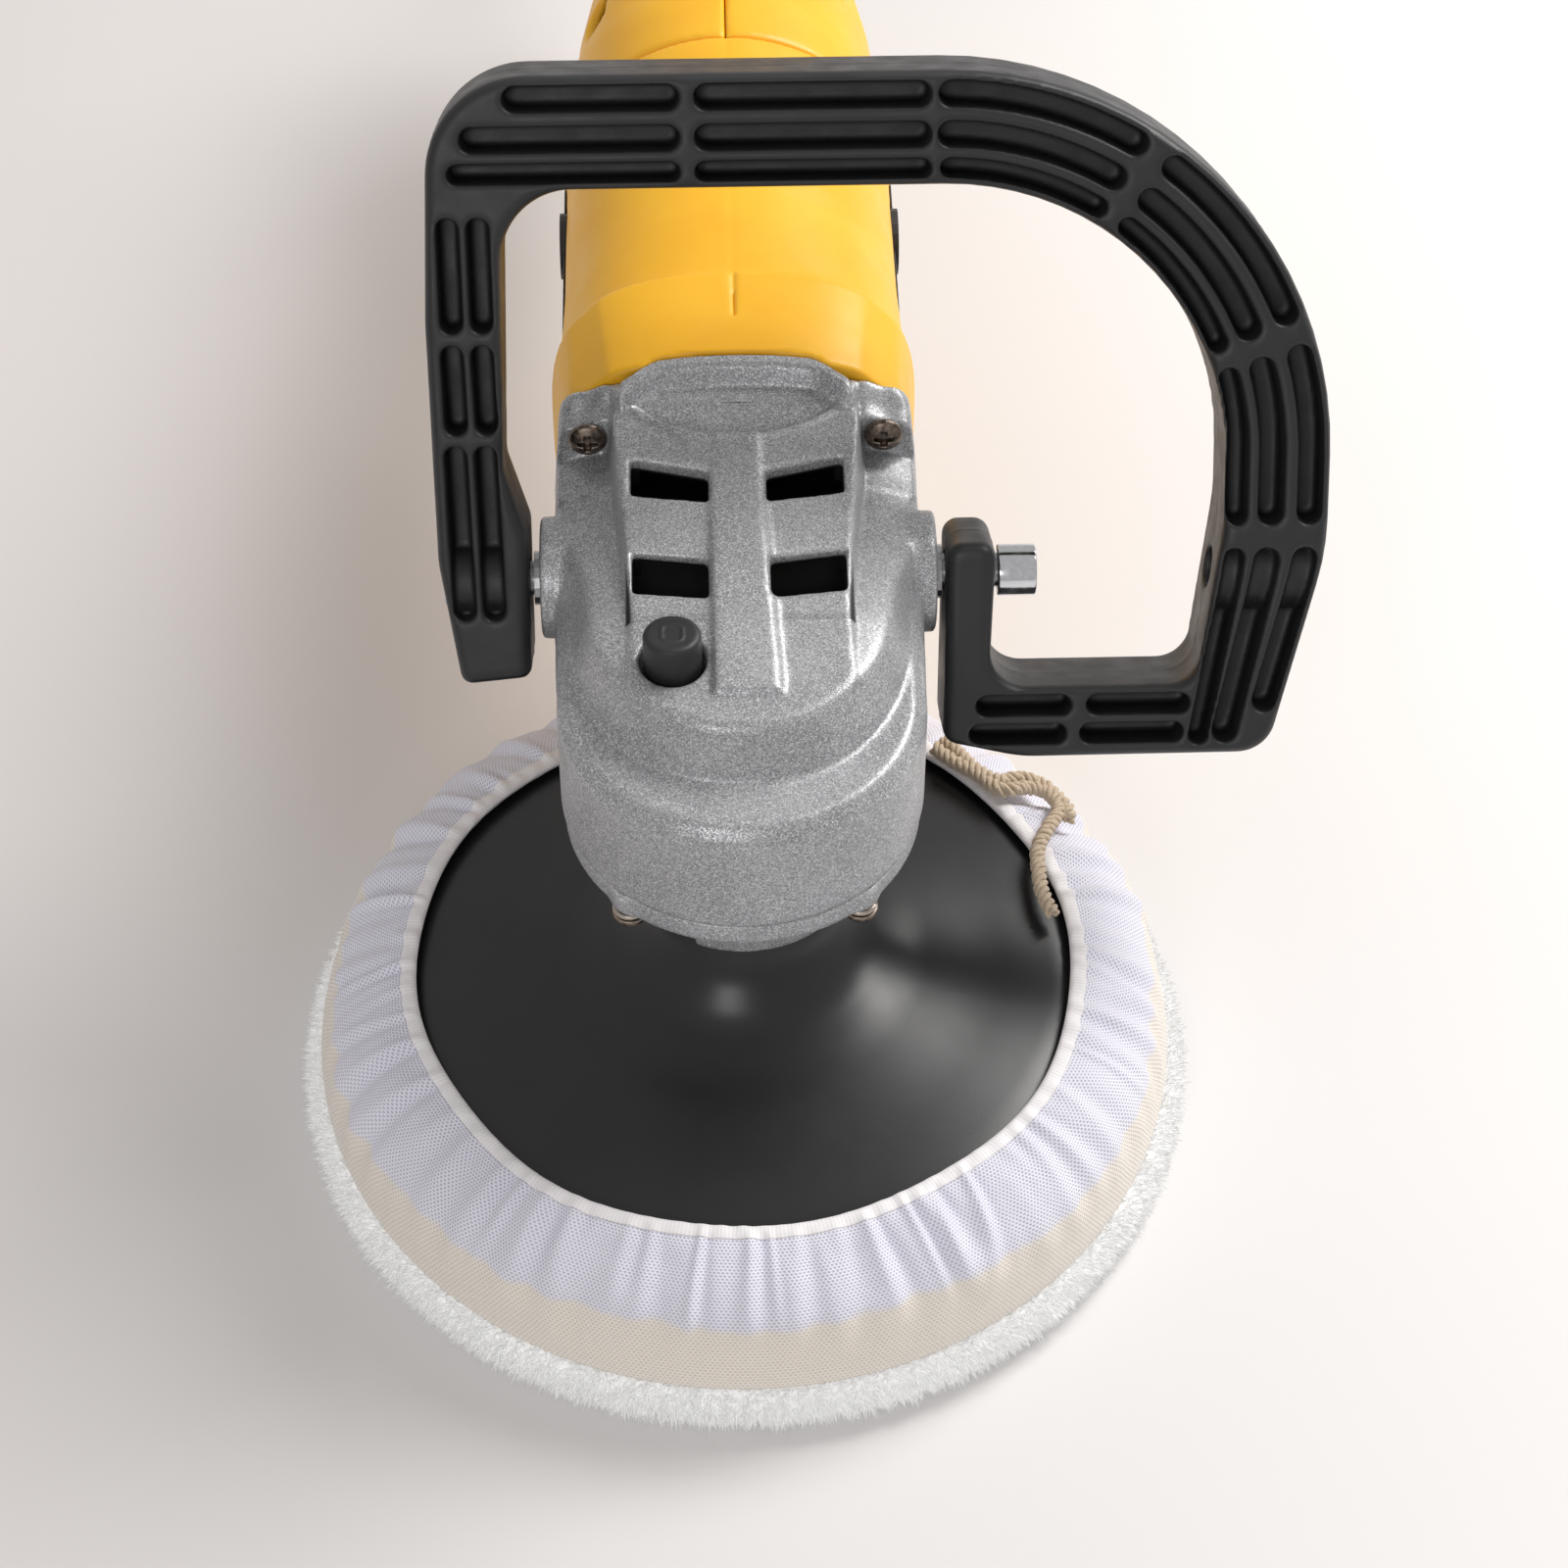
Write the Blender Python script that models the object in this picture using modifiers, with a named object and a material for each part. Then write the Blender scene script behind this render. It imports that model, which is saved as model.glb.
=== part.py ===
"""Rotary polisher: a corded right-angle polisher with a bail handle, a backing plate and a plush bonnet.

The origin is on the spindle axis, in the plane that the bonnet rests on. +Z runs up the spindle, +Y runs
back along the motor and rear handle, and +X is the side of the bail handle's wide bow.
Every length here is in millimetres. MM turns it into Blender's metres where a mesh is made.
"""

import math

import bmesh
import bpy
from mathutils import Matrix, Vector

MM = 0.001
GAP = 0.3  # between neighbouring pieces
ROUND, SMALL, TINY = 32, 20, 10  # sides of a full turn, by the size of the piece

# Bonnet, foam and backing plate
BONNET_R = 102
OPENING_R = 75
HEM_Z = 40
PLATE_R = 91.5
PLATE_Z = 27.5
HUB_R = 16
HUB_Z = 72.7

# Gear housing
SPINDLE_R = 6
MOTOR_Z = 112
NOSE_R = 39.6
NOSE_Z = 99.3
LEDGE_Z = 129.4
BLOCK_Z = 144
HALF_WIDTH = 40
HALF_HEIGHT = 39
FLANGE_Y = 80
POCKET_Y = 71  # the wall behind the heads of the long screws
LIP_X, LIP_END = 25.8, 83.3
PIVOT_Y, PIVOT_Z = 45, 120
BOSS_X = 42
SCREW_X, SCREW_DZ = 33, 26

# Gears: one pitch cone each, with the common tip where the two axes cross
GEAR_TEETH, PINION_TEETH = 36, 9
GEAR_PITCH_R = 30
FACE_WIDTH = 8

# Motor
BARREL_END = 195
CORE_FRONT, CORE_BACK = 100, 146
STATOR_R = 36
BRUSH_Y = 165

# Rear handle
HANDLE_END = 385
WALL = 3
CORD_Z = 106
CORD_R = 3.6

SCREW_TIP = 14
SHELL_SCREWS = [(230, 130, 30), (374, 92, 19.5)]  # y, z and half the shells' width there
TRIGGER_PIVOT = (273, 89)
DIAL_CENTRE = (348, 118.5)

# Lock button
LOCK_X, LOCK_Y = -14.5, -1
LOCK_TOP = 150

# Fasteners
SCREW_HOLE_R = 2.6
RETAINER_SCREW_RING = 36.4
BOLT_R, BOLT_HEAD_R = 4, 5.75
BOLT_HOLE_R = 4.4

# Bail handle, in its own plane: x across, y up from the pivot
BAIL_LEAN = math.radians(30)
BAIL_THICK = 26
BAIL_TOP = 112.8
BOW_CENTRE = (45, 27.8)
BOW_R = 85
BOW_INSIDE = (45, 26.8, 61)  # x, y and radius of the inner edge
SLOT_DEPTH = 9

FINISHES = {
    "silver_paint": ((0.40, 0.40, 0.41), 0.45, 0.6),
    "yellow_plastic": ((0.90, 0.52, 0.06), 0.4, 0.0),
    "black_plastic": ((0.025, 0.025, 0.027), 0.5, 0.0),
    "steel": ((0.55, 0.55, 0.56), 0.3, 1.0),
    "chrome": ((0.80, 0.80, 0.82), 0.12, 1.0),
    "bronzed_steel": ((0.20, 0.15, 0.12), 0.35, 1.0),
    "lamination": ((0.30, 0.29, 0.28), 0.5, 0.9),
    "copper": ((0.72, 0.38, 0.20), 0.35, 1.0),
    "carbon": ((0.05, 0.05, 0.05), 0.8, 0.0),
    "brass": ((0.75, 0.58, 0.25), 0.35, 1.0),
    "felt": ((0.30, 0.28, 0.25), 1.0, 0.0),
    "circuit_board": ((0.05, 0.22, 0.10), 0.6, 0.0),
    "foam": ((0.80, 0.74, 0.60), 0.95, 0.0),
    "bonnet_cloth": ((0.80, 0.79, 0.86), 0.95, 0.0),
    "cotton": ((0.60, 0.47, 0.33), 0.95, 0.0),
    "cord_rubber": ((0.02, 0.02, 0.02), 0.7, 0.0),
}
TURNS = {
    "X": Matrix.Rotation(math.radians(90), 4, "Y"),
    "Y": Matrix.Rotation(math.radians(-90), 4, "X"),
    "BACK": Matrix.Rotation(math.radians(90), 4, "X"),
    "Z": Matrix.Identity(4),
    "BAIL": Matrix.Rotation(math.radians(90) - BAIL_LEAN, 4, "X"),
}

for old in list(bpy.data.objects):
    bpy.data.objects.remove(old)
PARTS = bpy.data.collections.new("rotary_polisher")
CUTTERS = bpy.data.collections.new("cutters")
for group in (PARTS, CUTTERS):
    bpy.context.scene.collection.children.link(group)


# ---------------------------------------------------------------- making objects


def material(name, finish):
    """A Principled BSDF of the named finish, for one object."""
    colour, roughness, metallic = FINISHES[finish]
    made = bpy.data.materials.new(f"{name}_{finish}")
    made.use_nodes = True
    shader = made.node_tree.nodes["Principled BSDF"]
    shader.inputs["Base Color"].default_value = (*colour, 1)
    shader.inputs["Roughness"].default_value = roughness
    shader.inputs["Metallic"].default_value = metallic
    return made


def add(name, mesh, finish, at=(0, 0, 0), axis="Z"):
    """Links a mesh as an object. With no finish it is a cutter."""
    obj = bpy.data.objects.new(name, mesh)
    obj.matrix_world = Matrix.Translation(Vector(at) * MM) @ TURNS[axis]
    if finish:
        mesh.materials.append(material(name, finish))
        PARTS.objects.link(obj)
    else:
        obj.hide_render = True
        obj.display_type = "WIRE"
        CUTTERS.objects.link(obj)
    return obj


def mesh_of(name, body, smooth=True):
    """Turns a bmesh in millimetres into a mesh in metres, with its faces pointing out."""
    bmesh.ops.scale(body, vec=(MM, MM, MM), verts=body.verts)
    bmesh.ops.recalc_face_normals(body, faces=body.faces)
    mesh = bpy.data.meshes.new(name)
    body.to_mesh(mesh)
    body.free()
    if smooth:
        mesh.shade_smooth()
        mesh.set_sharp_from_angle(angle=math.radians(35))
    return mesh


def turned(name, profile, finish, at=(0, 0, 0), axis="Z", ring=False, sides=SMALL):
    """A turned piece. The (radius, height) profile runs down its outer side; a ring's profile is a loop."""
    mesh = bpy.data.meshes.new(name)
    edges = [(i, i + 1) for i in range(len(profile) - 1)]
    if ring:
        edges.append((len(profile) - 1, 0))
    mesh.from_pydata([(r * MM, 0, h * MM) for r, h in profile], edges, [])
    obj = add(name, mesh, finish, at, axis)
    screw = obj.modifiers.new("turn", "SCREW")
    screw.steps = screw.render_steps = sides
    screw.use_merge_vertices = True
    screw.merge_threshold = 0.00001
    return obj


def ring(name, inner, outer, low, high, finish, at=(0, 0, 0), axis="Z", sides=SMALL):
    profile = [(inner, high), (outer, high), (outer, low), (inner, low)]
    return turned(name, profile, finish, at, axis, True, sides)


def add_cylinder(body, radius, depth, sides, middle):
    bmesh.ops.create_cone(
        body, cap_ends=True, segments=sides, radius1=radius, radius2=radius, depth=depth, matrix=middle
    )


def rod(name, radius, low, high, finish=None, at=(0, 0, 0), axis="Z", sides=SMALL):
    """A cylinder whose ends are at two heights along its axis."""
    body = bmesh.new()
    middle = Matrix.Translation((0, 0, (low + high) / 2))
    add_cylinder(body, radius, high - low, sides, middle)
    return add(name, mesh_of(name, body), finish, at, axis)


def box(name, low, high, finish=None, at=(0, 0, 0), axis="Z"):
    return boxes(name, [(low, high)], finish, at, axis)


def boxes(name, corners, finish=None, at=(0, 0, 0), axis="Z"):
    """One mesh of separate boxes, each from its lowest corner to its highest."""
    body = bmesh.new()
    for low, high in corners:
        low, high = Vector(low), Vector(high)
        middle = Matrix.Translation((low + high) / 2)
        bmesh.ops.create_cube(body, size=1, matrix=middle @ Matrix.Diagonal((*(high - low), 1)))
    return add(name, mesh_of(name, body, smooth=False), finish, at, axis)


def rods(name, radius, low, high, places, finish=None, at=(0, 0, 0), axis="Z", sides=TINY):
    """One mesh of separate cylinders, centred on places in the plane across their axis."""
    body = bmesh.new()
    for x, y in places:
        middle = Matrix.Translation((x, y, (low + high) / 2))
        add_cylinder(body, radius, high - low, sides, middle)
    return add(name, mesh_of(name, body), finish, at, axis)


def from_curve(name, curve, finish, at, axis):
    """The curve's solid as a mesh, with its caps welded on."""
    guide = bpy.data.objects.new(f"{name}_guide", curve)
    CUTTERS.objects.link(guide)
    graph = bpy.context.evaluated_depsgraph_get()
    made = bpy.data.meshes.new_from_object(guide.evaluated_get(graph))
    body = bmesh.new()
    body.from_mesh(made)
    bmesh.ops.remove_doubles(body, verts=body.verts, dist=0.001)
    bpy.data.objects.remove(guide)
    return add(name, mesh_of(name, body), finish, at, axis)


def plate(name, outlines, low, high, finish=None, at=(0, 0, 0), axis="Z"):
    """Flat outlines given thickness, as one mesh."""
    curve = bpy.data.curves.new(name, "CURVE")
    curve.dimensions = "2D"
    curve.fill_mode = "BOTH"
    curve.extrude = (high - low) / 2
    for outline in outlines:
        spline = curve.splines.new("POLY")
        spline.points.add(len(outline) - 1)
        spline.use_cyclic_u = True
        for point, (x, y) in zip(spline.points, outline):
            point.co = (x, y, 0, 1)
    lift = TURNS[axis] @ Vector((0, 0, (low + high) / 2))
    return from_curve(name, curve, finish, Vector(at) + lift, axis)


def tube(name, path, radius, finish=None, closed=False, sides=4):
    """A round wire along a path of points."""
    curve = bpy.data.curves.new(name, "CURVE")
    curve.dimensions = "3D"
    curve.bevel_depth = radius
    curve.bevel_resolution = sides - 2
    curve.use_fill_caps = not closed
    spline = curve.splines.new("POLY")
    spline.points.add(len(path) - 1)
    spline.use_cyclic_u = closed
    for point, place in zip(spline.points, path):
        point.co = (*place, 1)
    return from_curve(name, curve, finish, (0, 0, 0), "Z")


def loft(name, sections, finish=None, at=(0, 0, 0), axis="Z", closed=False):
    """Skins loops of equally many points. It caps the two ends, or joins the last loop to the first."""
    body = bmesh.new()
    loops = [[body.verts.new(point) for point in section] for section in sections]
    pairs = list(zip(loops, loops[1:]))
    if closed:
        pairs.append((loops[-1], loops[0]))
    else:
        body.faces.new(loops[0])
        body.faces.new(loops[-1])
    for first, second in pairs:
        for i in range(len(first)):
            j = (i + 1) % len(first)
            body.faces.new((first[i], first[j], second[j], second[i]))
    return add(name, mesh_of(name, body), finish, at, axis)


def boolean(obj, other, operation):
    change = obj.modifiers.new(f"{operation.lower()}_{other.name}"[:60], "BOOLEAN")
    change.operation = operation
    change.object = other
    change.solver = "EXACT"


def cut(obj, *cutters):
    for cutter in cutters:
        boolean(obj, cutter, "DIFFERENCE")


def join(obj, *others):
    for other in others:
        boolean(obj, other, "UNION")


# ---------------------------------------------------------------- outlines and paths


def arc(centre, radius, start, end, count):
    """Points on an arc, with angles in degrees."""
    angles = [math.radians(start + (end - start) * i / (count - 1)) for i in range(count)]
    return [(centre[0] + radius * math.cos(a), centre[1] + radius * math.sin(a)) for a in angles]


def rounded(corners, step=24):
    """A closed outline of (x, y, radius) corners, rounded by points at most a step of degrees apart."""
    outline = []
    for i, (x, y, radius) in enumerate(corners):
        here = Vector((x, y))
        before = (Vector(corners[i - 1][:2]) - here).normalized()
        after = (Vector(corners[(i + 1) % len(corners)][:2]) - here).normalized()
        half = before.angle(after) / 2
        middle = here + (before + after).normalized() * radius / math.sin(half)
        first = here + before * radius / math.tan(half) - middle
        turn = first.angle_signed(here + after * radius / math.tan(half) - middle)
        count = max(1, math.ceil(abs(math.degrees(turn)) / step))
        for k in range(count + 1):
            swung = Matrix.Rotation(-turn * k / count, 2) @ first
            outline.append(tuple(middle + swung))
    return outline


def superellipse(half_x, half_z, power, start, end, count):
    """Points of a rounded square between two angles in degrees, as (x, z)."""
    points = []
    for i in range(count):
        a = math.radians(start + (end - start) * i / (count - 1))
        c, s = math.cos(a), math.sin(a)
        x = math.copysign(abs(c) ** (2 / power), c) * half_x
        z = math.copysign(abs(s) ** (2 / power), s) * half_z
        points.append((x, z))
    return points


def smooth_path(points, between=3):
    """A Catmull-Rom path through the points."""
    ends = [points[0], *points, points[-1]]
    path = [Vector(points[0])]
    for a, b, c, d in zip(ends, ends[1:], ends[2:], ends[3:]):
        a, b, c, d = Vector(a), Vector(b), Vector(c), Vector(d)
        for k in range(1, between + 1):
            t = k / between
            square, cube = 2 * a - 5 * b + 4 * c - d, 3 * b - a - 3 * c + d
            path.append((2 * b + (c - a) * t + square * t * t + cube * t**3) / 2)
    return path


def stadium(path, width):
    """The outline of a slot with round ends that follows a path in a plane."""
    points = [Vector(p) for p in path]
    ways = [(b - a).normalized() for a, b in zip(points, points[1:])]
    ways = [ways[0]] + [((a + b) / 2).normalized() for a, b in zip(ways, ways[1:])] + [ways[-1]]
    left = [p + Vector((-w.y, w.x)) * width / 2 for p, w in zip(points, ways)]
    right = [p - Vector((-w.y, w.x)) * width / 2 for p, w in zip(points, ways)]
    start = points[0] - ways[0] * width / 3
    end = points[-1] + ways[-1] * width / 3
    return [tuple(p) for p in [*left, end, *reversed(right), start]]


# ---------------------------------------------------------------- gear housing


def block_outline(inset):
    """Plan of the housing's upper block: a blunt rounded nose that runs back into straight sides."""
    front = superellipse(36.5 - inset, 45.3 - inset, 2.2, 180, 360, 17)
    front = [(x, z + 20) for x, z in front]
    side = HALF_WIDTH - 0.5 * inset
    return [*front, (side, 46), (side, FLANGE_Y - 4), (-side, FLANGE_Y - 4), (-side, 46)]


def gear_housing():
    nose = arc((0, 0), NOSE_R, 180, 360, 21)
    nose += [(HALF_WIDTH, 20), (HALF_WIDTH, 76), (-HALF_WIDTH, 76), (-HALF_WIDTH, 20)]
    housing = plate("gear_housing", [nose], NOSE_Z, LEDGE_Z, "silver_paint")
    block = loft(
        "housing_block",
        [[(x, y, z) for x, y in block_outline(inset)] for z, inset in ((LEDGE_Z - 4, 0), (BLOCK_Z, 3.5))],
    )
    square = [(-1, -1), (1, -1), (1, 1), (-1, 1)]
    full = rounded([(sx * HALF_WIDTH, sz * HALF_HEIGHT, 12) for sx, sz in square], step=31)
    flange = plate("housing_flange", [full], POCKET_Y, FLANGE_Y, at=(0, 0, MOTOR_Z), axis="Y")
    below = MOTOR_Z - BLOCK_Z
    low = rounded([(sx * HALF_WIDTH, HALF_HEIGHT if sz > 0 else below, 8) for sx, sz in square], step=31)
    trunk = plate("housing_trunk", [low], 60, POCKET_Y + 1, at=(0, 0, MOTOR_Z), axis="Y")
    belly = plate(
        "housing_belly",
        [[(-110, 41), (-NOSE_Z, 41), (-76, 60), (-74, 63), (-74, 66), (-110, 66)]],
        -38,
        38,
        axis="X",
    )
    lip_tongue = box("housing_lip_tongue", (-LIP_X, 77, 148), (LIP_X, LIP_END, 150.4))
    join(housing, block, flange, trunk, belly, lip_tongue)
    pivot = (0, PIVOT_Y, PIVOT_Z)
    for side in (-1, 1):
        ends = sorted((36 * side, BOSS_X * side))
        join(housing, rod(f"housing_boss_{side:+d}", 13.5, *ends, at=pivot, axis="X"))
    scoop_x = LIP_X + 0.7
    cut(housing, box("housing_crescent", (-scoop_x, POCKET_Y - 1, BLOCK_Z + 4.5), (scoop_x, 76.8, 155)))

    gears = rod("gear_chamber", 33, NOSE_Z - 2, MOTOR_Z, sides=ROUND)
    roof = ring("gear_chamber_roof", 11.5, 31, MOTOR_Z - 1, 126, None, sides=ROUND)
    needle = rod("needle_seat", 7.4, MOTOR_Z - 2, 126.5)
    pinion = rod("pinion_chamber", 12, 8, 51, at=(0, 0, MOTOR_Z), axis="Y")
    seat = rod("bearing_seat", 16 + GAP, 49.5, 74, at=(0, 0, MOTOR_Z), axis="Y")
    fan = rod("fan_chamber", 34.8, 73, FLANGE_Y + 1, at=(0, 0, MOTOR_Z), axis="Y", sides=ROUND)
    duct = box("vent_duct", (-24, 10, 130.5), (24, 75, 140.5))
    cut(housing, gears, roof, needle, pinion, seat, fan, duct)
    vents = []
    for side in (-1, 1):
        vents.append([(side * 6.2, 43), (side * 23.3, 46), (side * 23.3, 56.5), (side * 6.2, 52)])
        vents.append([(side * 6.6, 15.7), (side * 23, 17.5), (side * 23, 28.5), (side * 6.6, 26)])
    cut(housing, plate("vent_holes", vents, 138, 152))
    cut(housing, rod("lock_recess", 7.3, 130.5, 150, at=(LOCK_X, LOCK_Y, 0)))
    cut(housing, rod("lock_pin_hole", 3.1, 120, 132, at=(LOCK_X, LOCK_Y, 0), sides=TINY))
    for side in (-1, 1):
        ends = sorted((28.5 * side, 46 * side))
        cut(housing, rod(f"handle_bolt_hole_{side:+d}", BOLT_HOLE_R, *ends, at=pivot, axis="X", sides=TINY))
    pockets = []
    for side in (-1, 1):
        x_low, x_high = sorted((side * 27.5, side * 42))
        pockets.append(((x_low, 54, MOTOR_Z + 18.5), (x_high, POCKET_Y, 153)))
        pockets.append(((x_low, 40, 71), (x_high, POCKET_Y, MOTOR_Z - 18.5)))
    cut(housing, boxes("screw_pockets", pockets))
    corners, nose = corner_places(), retainer_places()
    at = (0, 0, MOTOR_Z)
    cut(housing, rods("housing_screw_holes", SCREW_HOLE_R, 69, 82, corners, at=at, axis="Y", sides=8))
    cut(housing, rods("retainer_screw_holes", 2.2, NOSE_Z - 1, NOSE_Z + 10, nose, sides=8))


def corner_places():
    """Where the four long screws sit round the motor axis."""
    return [(sx * SCREW_X, sz * SCREW_DZ) for sx in (-1, 1) for sz in (-1, 1)]


def retainer_places():
    """The four retainer screws, as (x, y): in the nose's round wall."""
    return [polar(RETAINER_SCREW_RING, a) for a in (-47, -133, 47, 133)]


def polar(radius, degrees):
    a = math.radians(degrees)
    return radius * math.cos(a), radius * math.sin(a)


def retainer():
    profile = [
        (12, 84), (16 + GAP, 84), (16 + GAP, 96.5), (32.5, 96.5), (32.5, 99), (38.9, 99), (38.9, 93),
        (25.8, 93), (25.8, 73.8), (12, 73.8),
    ]
    cover = turned("bearing_retainer", profile, "silver_paint", ring=True, sides=ROUND)
    join(cover, rods("retainer_ears", 4.4, 93.2, 98.8, retainer_places(), sides=16))
    cut(cover, rods("retainer_holes", 2.3, 90, 101, retainer_places(), sides=8))
    cut(cover, box("retainer_notch", (-23, -30, 70), (-11, -17, 80)))
    for number, (x, y) in enumerate(retainer_places(), 1):
        shank = [(0, NOSE_Z + 8), (1.9, NOSE_Z + 8), (1.9, 92.7)]
        washer = [(4, 92.7), (4, 91.5), (3.5, 91.5)]
        head = [(3.9, 91), (3.9, 89.2), (2.8, 88.4), (0, 88.4)]
        turned(f"retainer_screw_{number}", shank + washer + head, "bronzed_steel", (x, y, 0), sides=8)


def housing_screws():
    for number, (x, z) in enumerate(corner_places(), 1):
        name = f"housing_screw_{number}"
        place = (x, 0, MOTOR_Z + z)
        profile = [(0, 102), (2.2, 102), (2.2, 70.7), (4.4, 70.7), (4.4, 69.6), (3.4, 68.3), (0, 68)]
        screw = turned(name, profile, "bronzed_steel", place, "Y", sides=TINY)
        arms = {"wide": ((-2.2, -0.5, 66), (2.2, 0.5, 69.4)), "tall": ((-0.5, -2.2, 66), (0.5, 2.2, 69.4))}
        for arm, (low, high) in arms.items():
            cut(screw, box(f"{name}_{arm}_slot", low, high, at=place, axis="Y"))


# ---------------------------------------------------------------- spindle and gears


def bevel_gear(name, teeth, mate_teeth, back, front, bore, axis):
    """A bevel gear below its pitch cone's tip, which is the object's origin.

    The back and the front are (radius, height) of its two flat ends.
    """
    cone = math.atan2(teeth, mate_teeth)
    module = 2 * GEAR_PITCH_R / GEAR_TEETH
    reach = GEAR_PITCH_R / math.sin(math.atan2(GEAR_TEETH, PINION_TEETH))
    pitch = 2 * math.pi / teeth
    tooth = [(-0.30, -0.95), (-0.10, 0.75), (0.10, 0.75), (0.30, -0.95)]  # share of a pitch, modules
    turns = []
    for i in range(teeth):
        for share, height in tooth:
            turns.append((pitch * (i + share) + math.pi / 2, height))

    def row(shrink):
        points = []
        for a, height in turns:
            out = (math.sin(cone) * reach + math.cos(cone) * height * module) * shrink
            up = (math.sin(cone) * height * module - math.cos(cone) * reach) * shrink
            points.append((out * math.cos(a), out * math.sin(a), up))
        return points

    def circle(radius, height):
        return [(radius * math.cos(a), radius * math.sin(a), height) for a, _ in turns]

    at = (0, 0, MOTOR_Z)
    sections = [circle(*back), row(1), row(1 - FACE_WIDTH / reach), circle(*front)]
    gear = loft(name, sections, "steel", at, axis)
    cut(gear, rod(f"{name}_bore", bore, back[1] - 2, front[1] + 2, at=at, axis=axis))
    return gear


def spindle_group():
    profile = [
        (0, 126), (4.7, 126), (5, 125.7), (5, 113), (SPINDLE_R, 112), (SPINDLE_R, 84.3), (9, 84.3),
        (9, 73.2), (7, 73.2), (7, 52), (6, 51), (0, 51),
    ]
    turned("spindle", profile, "steel")
    gear = bevel_gear("bevel_gear", GEAR_TEETH, PINION_TEETH, (28, -14.6), (19, -8.4), SPINDLE_R + GAP, "Z")
    places = [polar(14.5, a) for a in range(0, 360, 60)]
    cut(gear, rods("gear_lock_holes", 2.9, 90, 112, places, sides=8))
    ring("spindle_bearing_lower", SPINDLE_R + GAP, 16, 84.6, 95.4, "steel")
    ring("spindle_bearing_upper", 5 + GAP, 7.1, 113.5, 125.5, "steel", sides=16)
    ring("dust_seal", 9 + GAP, 11.7, 76, 80, "felt")


def lock_button():
    at = (LOCK_X, LOCK_Y, 0)
    cap = [(0, LOCK_TOP), (5.2, LOCK_TOP), (6.2, LOCK_TOP - 1), (6.2, 139), (0, 139)]
    turned("lock_button", cap, "black_plastic", at)
    rod("lock_pin", 2.5, 108.2, 138.7, "steel", at, sides=TINY)
    turns, low, high = 4, 131.6, 137.9
    steps = 8 * turns
    path = []
    for i in range(steps + 1):
        x, y = polar(4.6, 360 * turns * i / steps)
        path.append((LOCK_X + x, LOCK_Y + y, low + (high - low) * i / steps))
    tube("lock_spring", path, 0.4, "steel", sides=2)


# ---------------------------------------------------------------- motor


def armature():
    at = (0, 0, MOTOR_Z)
    bevel_gear("bevel_pinion", PINION_TEETH, GEAR_TEETH, (6.2, -33.5), (4.2, -21.8), 3.6, "BACK")
    shaft = [(0, 192), (5, 192), (5, 150), (6, 150), (6, 34.3), (3.3, 34.3), (3.3, 22.4), (0, 22.4)]
    turned("armature_shaft", shaft, "steel", at, "Y")
    ring("armature_bearing_front", 6 + GAP, 16, 50, 60, "steel", at, "Y")
    ring("armature_bearing_rear", 5 + GAP, 11, 183, 190, "steel", at, "Y")
    core = ring("armature_core", 6 + GAP, 20.3, CORE_FRONT, CORE_BACK, "lamination", at, "Y", ROUND)
    cut(core, radial_boxes("core_slots", 10, (12.4, -2, CORE_FRONT - 2), (22, 2, CORE_BACK + 2), at, "Y"))
    front = ring("armature_winding", 8, 17.5, CORE_FRONT - 7.5, CORE_FRONT - GAP, "copper", at, "Y")
    back = ring("winding_back", 8, 17.5, CORE_BACK + GAP, CORE_BACK + 7.5, None, at, "Y")
    bars = radial_boxes("winding_bars", 10, (12.8, -1.6, CORE_FRONT - 2), (17, 1.6, CORE_BACK + 2), at, "Y")
    join(front, bars, back)
    ring("commutator", 5 + GAP, 12.5, 155.5, 174, "copper", at, "Y")
    fan_profile = [(6 + GAP, 84.5), (33, 84.5), (33, 82.5), (9, 82.5), (9, 75), (6 + GAP, 75)]
    fan = turned("cooling_fan", fan_profile, "black_plastic", at, "Y", ring=True)
    join(fan, radial_boxes("fan_blades", 9, (8.5, -0.8, 75.5), (32, 0.8, 83), at, "Y"))
    ring("fan_baffle", 22, 35.6, 86, 88.3, "black_plastic", at, "Y")


def radial_boxes(name, count, low, high, at, axis):
    """One mesh of boxes repeated round the object's axis."""
    body = bmesh.new()
    low, high = Vector(low), Vector(high)
    middle = Matrix.Translation((low + high) / 2) @ Matrix.Diagonal((*(high - low), 1))
    for i in range(count):
        turn = Matrix.Rotation(2 * math.pi * i / count, 4, "Z")
        bmesh.ops.create_cube(body, size=1, matrix=turn @ middle)
    return add(name, mesh_of(name, body, smooth=False), None, at, axis)


def stator():
    at = (0, 0, MOTOR_Z)
    coil_x, coil_z, wire = 19, 22, 3.2
    room = wire + 0.5
    core = ring("stator_core", 20.9, STATOR_R, CORE_FRONT, CORE_BACK, "lamination", at, "Y", ROUND)
    slots = []
    for sx in (-1, 1):
        for sz in (-1, 1):
            low = (sx * coil_x - room, sz * coil_z - room, CORE_FRONT - 2)
            slots.append((low, (sx * coil_x + room, sz * coil_z + room, CORE_BACK + 2)))
    cut(core, boxes("stator_slots", slots, at=at, axis="Y"))
    ends = [(-1, CORE_FRONT - 7), (1, CORE_FRONT - 7), (1, CORE_BACK + 7), (-1, CORE_BACK + 7)]
    loop = rounded([(side * coil_x, y, 3) for side, y in ends], step=50)
    for name, sz in (("upper", 1), ("lower", -1)):
        path = [(x, y, MOTOR_Z + sz * coil_z) for x, y in loop]
        tube(f"field_coil_{name}", path, wire, "copper", True, 3)


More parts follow.
